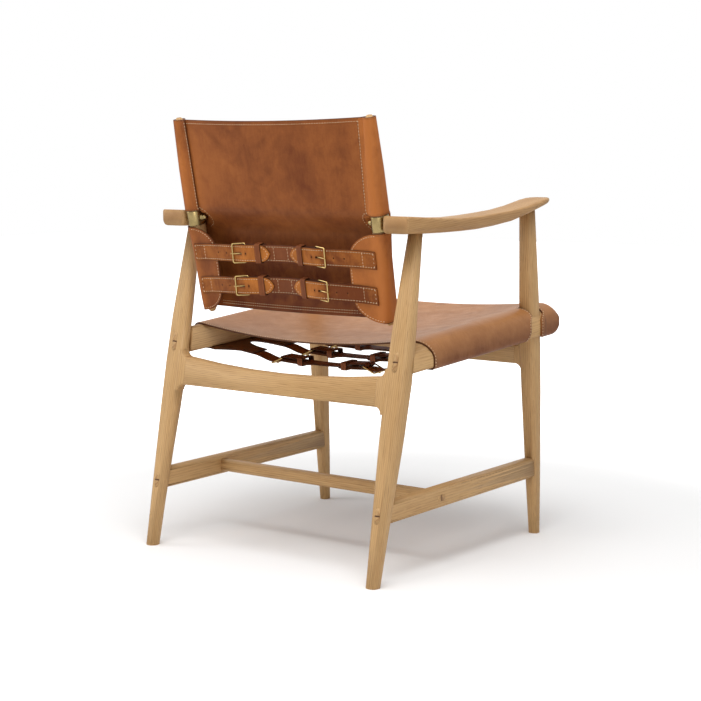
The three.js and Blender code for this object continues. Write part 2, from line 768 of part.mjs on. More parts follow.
const postShape = ({ width, depth, corner }) => [width, depth, corner];
const postStations = [
  [-postBelow, ...postShape(postBottom)],
  [-postAnkle, ...postShape(postLower)],
  [-postWaist, ...postShape(postLower)],
  [-collar.height / 2, ...postShape(postPivot)],
  [collar.height / 2, ...postShape(postPivot)],
  [postAbove * postUpperShare, ...postShape(postUpper)],
  [postAbove, ...postShape(postTop)],
];
const postSizes = alongStations(postStations, THREE.LinearInterpolant);
const postCentre = (height) => postX + postSplayShare * height;

const cornerSteps = 3;
function postRing(height, extra = 0, drawn = 0) {
  const [width, depth, corner] = postSizes(height);
  const more = extra - drawn;
  const outline = section(width + 2 * more, depth + 2 * more, evenRounds(corner + more), cornerSteps);
  return outline.map(([across, rear]) => [postCentre(height) + across, rear, height]);
}

const domeShare = 0.6;
const sleeveRows = sleeveRowShares.map((share) => share * backTopEdge);
const sleeveHeights = [sleeveBottom, ...sleeveRows, backTopEdge];
const postCalf = mix(postAnkle, postWaist, halfShare);
const wingDrops = [wingBottom, postAnkle, postCalf, postWaist, crossOver, wingTop];
const wingHeights = wingDrops.map((drop) => -drop);
const postRings = [
  postRing(-postBelow, 0, postDome * domeShare),
  ...wingHeights.map((height) => postRing(Math.max(height, postDome - postBelow))),
  ...sleeveHeights.map((height) => postRing(Math.min(height, postAbove - postDome))),
  postRing(postAbove, 0, postDome * domeShare),
];
const boltBore = solidOf(boltSolid(clearance));
const post = solidOf(loft(postRings)).subtract(boltBore);
pair('back_post', post, oak, back);

const collarTall = collar.height / 2;
const ringsRound = (tall, extra) => [-tall, 0, tall].map((height) => postRing(height, extra));
const collarOut = solidOf(loft(ringsRound(collarTall, clearance + collar.wall)));
const collarIn = solidOf(loft(ringsRound(collarTall + overrun, clearance)));
pair('collar', collarOut.subtract(collarIn).subtract(boltBore), brass, back);

// A sheet of leather: rows of paths in one plane each, given their thickness along the path's normal
function sheet(rows, place) {
  const rings = rows.map((row) => {
    const sides = row.map(({ at, thickness }, i) => {
      const before = row[Math.max(i - 1, 0)].at;
      const after = row[Math.min(i + 1, row.length - 1)].at;
      const along = new THREE.Vector2(after[0] - before[0], after[1] - before[1]).normalize();
      const half = (thickness ?? leather) / 2;
      const { level } = row[i];
      const [offX, offY] = [-half * along.y, half * along.x];
      return [1, -1].map((side) => place(at[0] + side * offX, at[1] + side * offY, level));
    });
    return [...sides.map(([outer]) => outer), ...sides.map(([, inner]) => inner).reverse()];
  });
  return solidOf(sheetLoft(rings));
}

// The skin of a sheet, whose ends are closed by strips between its two faces
function sheetLoft(rings) {
  const count = rings[0].length;
  const half = count / 2;
  const points = rings.flat();
  const triangles = [];
  for (let ring = 0; ring < rings.length - 1; ring += 1) {
    for (let i = 0; i < count; i += 1) {
      const j = (i + 1) % count;
      const [a, b] = [ring * count + i, ring * count + j];
      triangles.push(a, b, b + count, a, b + count, a + count);
    }
  }
  const last = (rings.length - 1) * count;
  for (let i = 0; i < half - 1; i += 1) {
    const opposite = count - 1 - i;
    const [here, there] = [last + i, last + opposite];
    triangles.push(i, opposite, i + 1, i + 1, opposite, opposite - 1);
    triangles.push(here, here + 1, there, here + 1, there - 1, there);
  }
  const geometry = new THREE.BufferGeometry();
  geometry.setAttribute('position', new THREE.Float32BufferAttribute(points.flat(), 3));
  geometry.setIndex(volumeOf(points, triangles) < 0 ? triangles.reverse() : triangles);
  return geometry;
}

// Back leather: the panel between the posts
const skin = clearance + leather / 2;
const snug = 0.1;
const seamFromPost = postPivot.width / 2 + seamBesidePost;
const frontDepth = (height) => -(postSizes(height)[1] / 2 + skin);
const seamDepth = (height) => mix(seamBehindPivot, seamBehindPost, height / backTopEdge);
const crossShare = (height) => smooth((height + crossOver) / (2 * crossOver));
const edgeDepth = (height) => mix(frontDepth(height), seamDepth(height), crossShare(height));

// The rear face of the wings and the straps: it stands out between post and middle, most low down
const wingReach = postX - wingWidth;
const bowAt = (height) => wingBow.atTop + wingBow.growthShare * (-height - wingTop);
const bowSteps = 10;
const bowStep = (postX - wingBow.fromPost) / bowSteps;
const bowShares = Array.from({ length: bowSteps + 2 }, (_, step) => (
  Math.sin(Math.PI * Math.min(step, bowSteps) / bowSteps) ** 2
));
function bowShareAt(x) {
  const step = Math.min(Math.floor(Math.abs(x) / bowStep), bowSteps);
  return mix(bowShares[step], bowShares[step + 1], Math.abs(x) / bowStep - step);
}
const wingBack = (x, height) => wingDepth + bowAt(height) * Math.max(0, bowShareAt(x));
const panelEdge = (height) => postCentre(height) - seamFromPost - flapPastSeam;
const panelColumns = 8;

function panelAt(share, height) {
  const edge = panelEdge(height);
  const bow = 1 - share ** 2;
  return [share * edge, edgeDepth(height) + panelBow * bow];
}

const rowPlace = (x, rear, level) => [x, rear, level];
const panelLow = [-backBottomEdge, -panelLowShare * backBottomEdge];
const panelHigh = panelRowShares.map((share) => share * backTopEdge);
const panelHeights = [...panelLow, -crossOver, 0, crossOver, ...panelHigh, backTopEdge];
const panelRows = panelHeights.map((height) => (
  Array.from({ length: panelColumns + 1 }, (_, column) => {
    const share = 2 * column / panelColumns - 1;
    const dip = height === backTopEdge ? backTopDip * (1 - share ** 2) : 0;
    return { at: panelAt(share, height), level: height - dip };
  })
));
const panel = sheet(panelRows, rowPlace);

// Points round one corner of the post, at the middle of the leather
function postCorner(height, corner, steps) {
  const [width, depth, round] = postSizes(height);
  const signs = [[1, 1], [-1, 1], [-1, -1], [1, -1]][corner];
  return Array.from({ length: steps + 1 }, (_, step) => {
    const angle = (corner + step / steps) * Math.PI / 2;
    return [
      postCentre(height) + signs[0] * (width / 2 - round) + (round + skin) * Math.cos(angle),
      signs[1] * (depth / 2 - round) + (round + skin) * Math.sin(angle),
    ];
  });
}

const lap = leather + clearance;
const innerLayer = innerLayerShare * leather;

function sleeveRow(height) {
  const centre = postCentre(height);
  const seam = edgeDepth(height);
  const rearInner = postCorner(height, 1, 3).reverse();
  const rearOuter = postCorner(height, 0, 3).reverse();
  const frontOuter = postCorner(height, 3, 3).reverse();
  const frontInner = postCorner(height, 2, 3).reverse();
  const path = [
    [centre - seamFromPost - flapPastSeam, seam + lap],
    [centre - seamFromPost, seam + lap],
    ...rearInner.slice(1),
    ...rearOuter,
    ...frontOuter,
    ...frontInner.slice(0, -1),
  ].map((at) => ({ at, level: height }));
  const inside = centre - seamFromPost - flapPastSeam - intoPanel;
  path.push({ at: [centre - seamFromPost, seam], level: height, thickness: leather });
  path.push({ at: [inside, seam], level: height, thickness: innerLayer });
  return path;
}

// Places across a wing between its free edge and the post, where the bow changes its slope
const bowPlaces = [wingReach, ...[bowSteps - 2, bowSteps - 1].map((step) => step * bowStep)];

// The round over the post is full enough for its middle chord to clear the post's corner
function roundPower(height, across, depth) {
  const [width, deep, round] = postSizes(height);
  const corner = (round + skin) * Math.SQRT1_2 - round;
  const least = (wingRoundStart + width / 2 + corner) / across + (deep / 2 + corner) / depth;
  const middle = [2, 3].map((step) => Math.cos(step / wingRound.steps * Math.PI / 2));
  const chord = (power) => middle.reduce((sum, share) => sum + share ** (2 / power), 0);
  const eased = smooth(1 + (height + wingTop) / wingRound.ease);
  let power = mix(wingRound.power, wingRound.powerAtTop, eased);
  while (chord(power) < least) power += wingRound.powerStep;
  return power;
}

function wingRow(height) {
  const centre = postCentre(height);
  const [width, , round] = postSizes(height);
  const across = width / 2 + skin + snug + wingRoundStart;
  const depth = wingBack(centre, height);
  const power = roundPower(height, across, depth);
  const rearOuter = Array.from({ length: wingRound.steps + 1 }, (_, step) => {
    const angle = (1 - step / wingRound.steps) * Math.PI / 2;
    return [
      centre - wingRoundStart + across * Math.max(0, Math.cos(angle)) ** (2 / power),
      depth * Math.max(0, Math.sin(angle)) ** (2 / power),
    ];
  });
  const frontOuter = postCorner(height, 3, 3).reverse();
  const path = [
    ...bowPlaces.map((x) => [x, wingBack(x, height)]),
    ...rearOuter,
    ...frontOuter,
    [centre - width / 2 + round, frontDepth(height)],
  ].map((at) => ({ at, level: height }));
  const edge = panelEdge(height);
  path.push({ at: [edge + intoPanel, edgeDepth(height)], level: height, thickness: leather });
  path.push({ at: [edge - intoPanel, edgeDepth(height)], level: height, thickness: innerLayer });
  return path;
}

const sleeve = sheet(sleeveHeights.map(sleeveRow), rowPlace);

// What is cut off a corner of a wing: the square corner less a quarter of an ellipse
function cornerCut(cornerX, cornerZ, across, upwards) {
  const shape = new THREE.Shape();
  const past = -Math.sign(upwards) * overrun;
  shape.moveTo(cornerX - overrun, cornerZ + past);
  shape.lineTo(cornerX + across, cornerZ + past);
  shape.lineTo(cornerX + across, cornerZ);
  for (let step = 1; step <= 8; step += 1) {
    const angle = step / 8 * Math.PI / 2;
    const [inX, inZ] = [across * Math.sin(angle), upwards * Math.cos(angle)];
    shape.lineTo(cornerX + across - inX, cornerZ + upwards - inZ);
  }
  shape.lineTo(cornerX - overrun, cornerZ + upwards);
  const geometry = slab(shape, cutterReach);
  geometry.translate(0, cutterReach + seamBehindPost, 0);
  return solidOf(geometry);
}

const wing = sheet(wingHeights.map(wingRow), rowPlace)
  .subtract(cornerCut(wingReach, -wingTop, wingTopCorner.across, -wingTopCorner.down))
  .subtract(cornerCut(wingReach, -wingBottom, wingBottomCorner.across, wingBottomCorner.up));

// The round cut-out that lets the collar and its nut through
function cutOut() {
  const shape = new THREE.Shape();
  const x = postX - postPivot.width / 2 - cutOutPastPost;
  shape.absarc(x, 0, cutOutRadius, Math.PI / 3, 2 * Math.PI - Math.PI / 3, false);
  shape.lineTo(postX + cutterReach, -sleeveBottom);
  shape.lineTo(postX + cutterReach, sleeveBottom);
  const geometry = slab(shape, 2 * cutterReach);
  geometry.translate(0, cutterReach, 0);
  return solidOf(geometry);
}

const otherSide = (solid) => solidOf(mirrored(geometryOf(solid)));
const backLeather = [sleeve, wing]
  .flatMap((part) => [part, otherSide(part)])
  .reduce((whole, part) => whole.add(part), panel)
  .subtract(cutOut())
  .subtract(otherSide(cutOut()));
piece('back_leather', backLeather, saddle, back);

// Seat leather: one path across the chair at each place along it
const sag = (y) => {
  const share = (seatRearEdge - y) / (seatRearEdge - nosePlaces[noseSteps]);
  const ends = mix(seatSagRear, seatSagFront, share);
  return ends + (seatSagMiddle - (seatSagRear + seatSagFront) / 2) * 4 * share * (1 - share);
};
const topPoints = 6;
const sagX = railInnerX + sagStart;
const flapX = railInnerX + flapStart;
const flapReach = railInnerX - flapWidth;
const flapFrontReach = railInnerX - flapFrontWidth;

function underHeight(x, y) {
  const { bottom } = railSize(y);
  return bottom - skin - flapDrop * (1 - (x / flapX) ** 2);
}

function reachAt(y) {
  const share = (frontLapY - y) / frontLapY;
  return mix(flapFrontReach, flapReach, smooth(4 * share));
}

function seatPath(y) {
  const { bottom, top, share } = railSize(y);
  const level = top + skin;
  const path = [];
  for (let step = 0; step < topPoints; step += 1) {
    const x = sagX * step / (topPoints - 1);
    path.push([x, level - sag(y) * (1 - (x / sagX) ** 2)]);
  }
  const across = seatRailShoulder.across;
  const down = seatRailShoulder.down * share;
  for (let step = 0; step <= shoulderSteps; step += 1) {
    const angle = (1 - step / shoulderSteps) * Math.PI / 2;
    path.push([
      railOuterX - across + (across + skin) * Math.cos(angle),
      top - down + (down + skin) * Math.sin(angle),
    ]);
  }
  const low = seatRailBottomRound * share;
  for (let step = 0; step <= 3; step += 1) {
    const angle = -step / 3 * Math.PI / 2;
    path.push([
      railOuterX - seatRailBottomRound + (seatRailBottomRound + skin) * Math.cos(angle),
      bottom + low + (low + skin) * Math.sin(angle),
    ]);
  }
  for (let step = 0; step <= 3; step += 1) {
    const x = mix(flapX, reachAt(y), step / 3);
    path.push([x, underHeight(x, y)]);
  }
  return path;
}

const halfCount = seatPath(0).length;
const seatRowShares = [0.2, 0.45, 0.7, 1];

// Rows of the leather follow the rail's nose, then run back to an edge that steps forward on the rail
function seatRowPlace(row, point) {
  if (row <= noseSteps) return nosePlaces[noseSteps - row];
  const rearEdge = mix(seatRearEdge, seatWrapRearEdge, smooth((point - topPoints) / shoulderSteps));
  return mix(straightEnd, rearEdge, seatRowShares[row - noseSteps - 1]);
}

const seatRows = Array.from({ length: noseSteps + 1 + seatRowShares.length }, (_, row) => {
  const half = Array.from({ length: halfCount }, (_, point) => {
    const y = seatRowPlace(row, point);
    return { at: seatPath(y)[point], level: y };
  });
  const other = half.slice(1).reverse().map(({ at, level }) => ({ at: [-at[0], at[1]], level }));
  return [...other, ...half];
});
const seatSheet = sheet(seatRows, (x, z, level) => [x, level, z]);

// An outline drawn in y and z becomes a cutter that runs outwards along x
function sideCutter(shape, fromX, toX) {
  const steps = { depth: toX - fromX, bevelEnabled: false, curveSegments: 6 };
  const geometry = new THREE.ExtrudeGeometry(shape, steps);
  geometry.rotateX(Math.PI / 2);
  geometry.rotateZ(Math.PI / 2);
  geometry.translate(fromX, 0, 0);
  return solidOf(geometry);
}

function legNotch() {
  const y = frontLegY(frontLapHeight);
  const half = frontHip.depth / 2 + legNotchGap;
  const low = railBottom(y) - cutterReach;
  const high = railTop(y) + cutterReach;
  const bend = railBottom(y) + legNotchRound;
  const shape = new THREE.Shape();
  shape.moveTo(y - half, low);
  shape.lineTo(y + half + legNotchRound, low);
  shape.lineTo(y + half + legNotchRound, railBottom(y) - lap - clearance);
  shape.quadraticCurveTo(y + half, railBottom(y), y + half, bend);
  shape.lineTo(y + half, high);
  shape.lineTo(y - half, high);
  return sideCutter(shape, legX - frontHip.width / 2 - legNotchGap, railOuterX + cutterReach);
}

function haunchNotch() {
  const y = frontLegY(frontLapHeight);
  const half = frontHip.depth / 2 + legNotchGap;
  return box(
    [flapReach - overrun, y - half, railBottom(y) - cutterReach],
    [railOuterX + cutterReach, y + half, railBottom(y)],
  );
}

function scallopCut(y, { depth, width }) {
  const geometry = new THREE.CylinderGeometry(1, 1, 2 * cutterReach, 20);
  geometry.rotateX(Math.PI / 2);
  geometry.scale(depth, width / 2, 1);
  geometry.translate(flapReach, y, railBottom(y) - cutterReach - clearance);
  return solidOf(geometry);
}

// The flap's rear corner slants from the rail to the first row of straps
function flapCornerCut() {
  const strapEdge = seatRowPlaces[0] + strap.width / 2 + flapCorner.past;
  const rearEdge = seatWrapRearEdge + overrun;
  const shape = new THREE.Shape();
  shape.moveTo(flapReach - overrun, strapEdge);
  shape.lineTo(flapReach + flapCorner.straight, strapEdge);
  shape.quadraticCurveTo(mix(flapReach, railInnerX, halfShare), strapEdge, railInnerX, rearEdge);
  shape.lineTo(flapReach - overrun, rearEdge);
  const steps = { depth: cutterReach, bevelEnabled: false, curveSegments: 5 };
  const geometry = new THREE.ExtrudeGeometry(shape, steps);
  geometry.translate(0, 0, railBottom(strapEdge) - cutterReach - clearance);
  return solidOf(geometry);
}

// A scallop lies midway between two rows of straps
const scallopPlaces = seatRowPlaces.slice(1).map((y, i) => mix(y, seatRowPlaces[i], halfShare));
const seatCuts = [
  legNotch(),
  haunchNotch(),
  flapCornerCut(),
  ...scallopPlaces.map((y) => scallopCut(y, scallop)),
  scallopCut(frontLapY + frontScallop.behindLeg, frontScallop),
];
const seatLeather = seatCuts
  .flatMap((cut) => [cut, otherSide(cut)])
  .reduce((whole, cut) => whole.subtract(cut), seatSheet);
piece('seat_leather', seatLeather, saddle);

// Straps are drawn flat: x along the strap, y across it, z away from the leather that it is sewn to
const strapHalf = strap.width / 2;
const strapRise = clearance + strap.thickness / 2;
const wire = buckle.wire / 2;
const wrapRadius = wire + 2 * clearance + strap.thickness / 2;
const centreRise = strap.thickness / 2;
const heelHeight = centreRise - wrapRadius;
const overRise = centreRise + strap.thickness + clearance;
const bendApartShare = 0.04;

// Points of a straight stretch where the bow that it follows changes its slope
function bendsBetween(from, to, bends) {
  if (!to) return [];
  const half = (share) => mix(from[2] ?? strapHalf, to[2] ?? strapHalf, share);
  return bends
    .map((x) => (x - from[0]) / (to[0] - from[0]))
    .filter((share) => share > bendApartShare && share < 1 - bendApartShare)
    .sort((one, other) => one - other)
    .map((share) => [mix(from[0], to[0], share), mix(from[1], to[1], share), half(share)]);
}

// A ribbon along points of x and height, each with its own half width, laid where the rule puts it
function ribbon(plainPoints, rule, bends) {
  const points = plainPoints.flatMap((point, i) => (
    [point, ...bendsBetween(point, plainPoints[i + 1], bends)]
  ));
  const rings = points.map(([x, h, half = strapHalf], i) => {
    const before = points[Math.max(i - 1, 0)];
    const after = points[Math.min(i + 1, points.length - 1)];
    const along = new THREE.Vector2(after[0] - before[0], after[1] - before[1]).normalize();
    const [dx, dh] = [-along.y * strap.thickness / 2, along.x * strap.thickness / 2];
    return [
      [x - dx, -half, h - dh],
      [x - dx, half, h - dh],
      [x + dx, half, h + dh],
      [x + dx, -half, h + dh],
    ].map((corner) => rule(...corner));
  });
  return solidOf(loft(rings));
}

// A round wire through points, open or closed on itself
function wireLoop(points, radius, closed, sides = 6) {
  const rings = points.map((point, i) => {
    const count = points.length;
    const before = closed ? points[(i + count - 1) % count] : points[Math.max(i - 1, 0)];
    const after = closed ? points[(i + 1) % count] : points[Math.min(i + 1, count - 1)];
    const along = after.clone().sub(before).normalize();
    const hint = closed ? new THREE.Vector3(0, 0, 1) : new THREE.Vector3(0, 1, 0);
    const across = hint.cross(along).normalize();
    const up = along.clone().cross(across);
    return Array.from({ length: sides }, (_, side) => {
      const angle = (side + halfShare) / sides * 2 * Math.PI;
      const spot = point.clone().addScaledVector(across, radius * Math.cos(angle));
      return spot.addScaledVector(up, radius * Math.sin(angle)).toArray();
    });
  });
  return solidOf(loft(rings, closed));
}

// Cutters stand on the strap: along its thickness, which the back's rule turns from z to y
function slotCut(x, length, width, rule) {
  const half = width / 2;
  const reach = strap.thickness + wrapRadius * 2;
  const cutter = box([x - length / 2, -half, -reach], [x + length / 2, half, reach]);
  return solidOf(moved(geometryOf(cutter), rule));
}

function holeCut(x, rule) {
  const geometry = new THREE.CylinderGeometry(strapHole / 2, strapHole / 2, cutterReach, 8);
  geometry.rotateX(Math.PI / 2);
  geometry.translate(x, 0, 0);
  return solidOf(moved(geometry, rule));
}

// Shares of a length for the points of a smooth ramp and of a strap's round tip
const rampShares = [0, 0.25, 0.5, 0.75];
const tipShares = [0, 0.35, 0.7, 0.92, 1];
const tipBluntShare = 0.93;

// Billet: sewn flat, under the outer bar, over the heel bar, through the keeper, to its tip
function billetOf(row, heel, rule) {
  const hump = row.barRise - wire - clearance - strap.thickness / 2;
  const over = heel + buckle.wire;
  const ramp = (from, to, low, high) => (
    rampShares.map((share) => [mix(from, to, share), mix(low, high, smooth(share))])
  );
  const tip = tipShares.map((share) => {
    const half = strapHalf * mix(1, Math.sqrt(1 - share ** 2), tipBluntShare);
    return [row.tip + strap.tip * (1 - share), overRise, half];
  });
  const points = [
    [row.sewn, strapRise],
    [mix(row.sewn, row.flat, halfShare), strapRise],
    ...ramp(row.flat, row.bar, strapRise, hump),
    ...ramp(row.bar, over, hump, overRise),
    [over, overRise],
    [mix(over, row.tip + strap.tip, halfShare), overRise],
    ...tip,
  ];
  const slot = slotCut(heel + prongPlace, prongSlot, prong + 3 * clearance, rule);
  const slotted = ribbon(points, rule, row.bends).subtract(slot);
  return row.holes.reduce((billet, x) => billet.subtract(holeCut(x, rule)), slotted);
}

// Centre strap: each end folded round the heel bar of its buckle, with a keeper sewn on
function centreStrapOf(row, heel, rule) {
  const back = heelHeight - wrapRadius;
  const fold = Array.from({ length: 6 }, (_, step) => {
    const angle = -Math.PI / 2 + step / 5 * Math.PI;
    return [heel + wrapRadius * Math.cos(angle), heelHeight + wrapRadius * Math.sin(angle)];
  });
  const under = [[heel - strap.fold, back], [heel - strap.fold / 2, back]];
  const half = [...under, ...fold, [heel / 2, centreRise]];
  const other = half.slice().reverse().map(([x, h]) => [-x, h]);
  const low = back - strap.thickness / 2;
  const high = overRise + strap.thickness / 2 + clearance;
  const side = strapHalf + clearance;
  const outer = box(
    [row.keeper - keeper.width / 2, -side - keeper.thickness, low - keeper.thickness],
    [row.keeper + keeper.width / 2, side + keeper.thickness, high + keeper.thickness],
  );
  const inner = box(
    [row.keeper - keeper.width, -side, back],
    [row.keeper + keeper.width, side, high],
  );
  const loop = solidOf(moved(geometryOf(outer.subtract(inner)), rule));
  const slot = slotCut(heel, 4 * wrapRadius, prong + 2 * clearance, rule);
  return ribbon([...half, [0, centreRise], ...other], rule, row.bends)
    .add(loop)
    .add(otherSide(loop))
    .subtract(slot)
    .subtract(otherSide(slot));
}

// Buckle frame: a rounded rectangle of wire that tips up towards its outer bar
function buckleOf(row, heel, rule) {
  const side = strapHalf + buckle.side + wire;
  const path = section(buckle.length, 2 * side, evenRounds(buckle.wire), 2).map(([along, across]) => {
    const share = along / buckle.length + halfShare;
    const spot = [heel + buckle.length * share, across, mix(heelHeight, row.barRise, share)];
    return new THREE.Vector3(...rule(...spot));
  });
  return wireLoop(path, wire, true);
}

// Prong: hooked round the heel bar, through the billet's slot, resting on the outer bar
function prongOf(row, heel, rule, hooked) {
  const hook = wire + clearance + prong / 2;
  const hookPath = [0, 1, 2, 3, 4, 5].map((step) => {
    const angle = -Math.PI / 2 - step / 5 * Math.PI;
    return [heel + hook * Math.cos(angle), heelHeight + hook * Math.sin(angle)];
  });
  const fixedPath = [[heel, heelHeight + wire / 2], [heel + wire, heelHeight + hook]];
  const rest = row.barRise + wire + (hooked ? clearance : -clearance) + prong / 2;
  const root = hooked ? hookPath : fixedPath;
  const path = [...root, [row.bar - wire, rest], [row.bar + buckle.wire, rest]];
  const spots = path.map(([x, h]) => new THREE.Vector3(...rule(x, 0, h)));
  return wireLoop(spots, prong / 2, false);
}

function strapSet(name, row, parent, rule, hooked) {
  const heel = row.bar - buckle.length;
  pair(`${name}_billet`, billetOf(row, heel, rule), strapLeather, parent);
  piece(`${name}_centre_strap`, centreStrapOf(row, heel, rule), strapLeather, parent);
  const frame = buckleOf(row, heel, rule);
  const tongue = prongOf(row, heel, rule, hooked);
  pair(`${name}_buckle`, hooked ? frame : frame.add(tongue), brass, parent);
  if (hooked) pair(`${name}_prong`, tongue, brass, parent);
}

// The back's straps lie on the wings and arch up towards the middle
const layRise = leather / 2 + strap.width * layGapShare;
const bowBends = Array.from({ length: 2 * bowSteps + 1 }, (_, step) => (step - bowSteps) * bowStep);
backRows.forEach(({ name, height, rise, fromPost }) => {
  const sewn = postX - fromPost;
  const rule = (x, y, z) => {
    const level = height - y + rise * (1 - Math.abs(x / sewn) ** risePower);
    return [x, wingBack(x, level) + layRise + z, level];
  };
  const row = { ...backRow, sewn, flat: wingReach + backRow.pastWing, bends: bowBends };
  strapSet(name, row, back, rule, true);
});

// The seat's straps hang with the flaps that they are sewn to
const seatRowNames = ['rear_seat', 'middle_seat', 'front_seat'];
const seatPlaces = { sewn: flapReach + seatRow.onFlap, flat: flapReach + seatRow.pastFlap };
const seatStraps = { ...seatRow, ...seatPlaces, bends: [] };
const railSlope = (railBottom(0) - railBottom(footDepth)) / footDepth;
seatRowPlaces.forEach((y, i) => {
  const hung = new THREE.Group();
  hung.position.set(0, y, railBottom(y) - clearance - leather);
  hung.rotation.x = Math.PI - Math.atan(railSlope);
  chair.add(hung);
  const rule = (x, across, z) => [x, across, z + flapDrop * (1 - (x / flapX) ** 2)];
  strapSet(seatRowNames[i], seatStraps, hung, rule, false);
});

// The chair's own frame has its origin on the floor, midway between its front and its back
chair.position.y = -(rearFootBack + railFrontY + seatRailNose * (1 - noseShare)) / 2;

export default chair;
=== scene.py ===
import bmesh
import bpy
import math
from itertools import accumulate
from mathutils import Matrix, Vector


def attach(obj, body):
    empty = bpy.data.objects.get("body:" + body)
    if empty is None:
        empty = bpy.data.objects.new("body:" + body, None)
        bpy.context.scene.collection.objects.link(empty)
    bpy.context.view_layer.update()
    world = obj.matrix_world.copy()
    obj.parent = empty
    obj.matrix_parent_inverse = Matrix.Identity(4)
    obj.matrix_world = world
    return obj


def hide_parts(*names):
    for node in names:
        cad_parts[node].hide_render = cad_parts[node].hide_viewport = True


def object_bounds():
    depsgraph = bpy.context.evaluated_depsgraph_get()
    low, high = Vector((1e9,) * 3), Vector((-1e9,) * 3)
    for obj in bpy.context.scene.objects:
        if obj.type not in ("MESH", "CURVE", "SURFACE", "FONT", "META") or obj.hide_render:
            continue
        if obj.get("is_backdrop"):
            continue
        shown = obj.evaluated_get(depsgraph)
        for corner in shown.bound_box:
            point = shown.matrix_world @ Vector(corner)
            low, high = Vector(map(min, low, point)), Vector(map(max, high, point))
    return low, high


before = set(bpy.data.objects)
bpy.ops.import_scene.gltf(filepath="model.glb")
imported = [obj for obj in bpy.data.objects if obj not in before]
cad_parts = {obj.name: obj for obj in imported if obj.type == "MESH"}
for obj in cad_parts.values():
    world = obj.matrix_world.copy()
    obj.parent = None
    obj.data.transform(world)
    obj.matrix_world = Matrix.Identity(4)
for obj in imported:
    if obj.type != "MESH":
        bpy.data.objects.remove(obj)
cad_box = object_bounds()


# Camera
# It stands behind the chair, to the sitter's right, at about the height of the back.
def linked(name, data):
    made = bpy.data.objects.new(name, data)
    bpy.context.scene.collection.objects.link(made)
    return made


camera_azimuth = math.radians(217.69)
camera_height = math.radians(6.26)
camera_place = Vector((-1.9196, 2.5003, 0.7444))
photo_width = 701
principal_shift = (4.17 / photo_width, -19.28 / photo_width)
towards = Vector((
    math.sin(camera_azimuth) * math.cos(camera_height),
    -math.cos(camera_azimuth) * math.cos(camera_height),
    math.sin(camera_height),
))
rightwards = Vector((0, 0, 1)).cross(towards).normalized()
upwards = towards.cross(rightwards)
lens = bpy.data.cameras.new("photo_camera")
lens.sensor_width = 36
lens.lens = 85.54
lens.shift_x, lens.shift_y = principal_shift
camera = linked("photo_camera", lens)
camera_turn = Matrix((rightwards, upwards, towards)).transposed().to_4x4()
camera.matrix_world = Matrix.Translation(camera_place) @ camera_turn
bpy.context.scene.camera = camera
bpy.context.scene.view_settings.view_transform = "Standard"


# Studio
# A white floor that keeps the chair's soft shadow and fades into a white background, a wide soft box
# overhead, a weaker one at the left, and one near the camera for the gloss of brass and leather.
def plug(tree, node, values):
    for key, value in values.items():
        if isinstance(value, bpy.types.NodeSocket):
            tree.links.new(value, node.inputs[key])
        else:
            node.inputs[key].default_value = value


def add(tree, kind, values=None, **settings):
    node = tree.nodes.new(kind)
    for key, value in settings.items():
        setattr(node, key, value)
    plug(tree, node, values or {})
    return node


def maths(tree, operation, *values, clamp=False):
    node = add(tree, "ShaderNodeMath", dict(enumerate(values)), operation=operation, use_clamp=clamp)
    return node.outputs[0]


def plus(tree, first, second, clamp=False):
    return maths(tree, "ADD", first, second, clamp=clamp)


def times(tree, first, second):
    return maths(tree, "MULTIPLY", first, second)


def span(tree, value, low, high, start=0.0, end=1.0, smooth=False):
    kind = "SMOOTHSTEP" if smooth else "LINEAR"
    values = {"Value": value, "From Min": low, "From Max": high, "To Min": start, "To Max": end}
    return add(tree, "ShaderNodeMapRange", values, interpolation_type=kind).outputs[0]


def blended(tree, share, first, second):
    values = {0: share, 6: first, 7: second}
    return add(tree, "ShaderNodeMix", values, data_type="RGBA").outputs[2]


def bare_material(name):
    """A new material, its tree and shader, and the place that its patterns follow"""
    made = bpy.data.materials.new(name)
    made.use_nodes = True
    tree = made.node_tree
    tree.nodes.clear()
    shader = add(tree, "ShaderNodeBsdfPrincipled")
    add(tree, "ShaderNodeOutputMaterial", {0: shader.outputs[0]})
    return made, tree, shader, add(tree, "ShaderNodeTexCoord").outputs["Object"]


floor_reach = 9.0
fade = (0.75, 1.7)
paper_white, full_white = (0.93, 0.93, 0.93, 1), (1, 1, 1, 1)
bpy.ops.mesh.primitive_grid_add(x_subdivisions=8, y_subdivisions=8, size=2 * floor_reach)
floor = bpy.context.object
floor.name = "studio_floor"
paper, tree, shader, place = bare_material("studio_paper")
away = add(tree, "ShaderNodeVectorMath", {0: place}, operation="LENGTH").outputs["Value"]
seen = add(tree, "ShaderNodeLightPath").outputs["Is Camera Ray"]
glow = times(tree, span(tree, away, *fade, smooth=True), seen)
plug(tree, shader, {
    "Base Color": paper_white, "Roughness": 0.9, "Specular IOR Level": 0.1,
    "Emission Color": full_white, "Emission Strength": glow,
})
floor.data.materials.append(paper)
floor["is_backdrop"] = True

world_level = 0.54
world = bpy.data.worlds.new("studio_air")
world.use_nodes = True
bpy.context.scene.world = world
tree = world.node_tree
tree.nodes.clear()
rays = add(tree, "ShaderNodeLightPath").outputs
direct = plus(tree, rays["Is Camera Ray"], rays["Is Glossy Ray"], clamp=True)
direct = plus(tree, direct, rays["Is Transmission Ray"], clamp=True)
level = span(tree, direct, 0, 1, world_level, 1.0)
air = add(tree, "ShaderNodeBackground", {"Color": full_white, "Strength": level})
add(tree, "ShaderNodeOutputWorld", {0: air.outputs[0]})


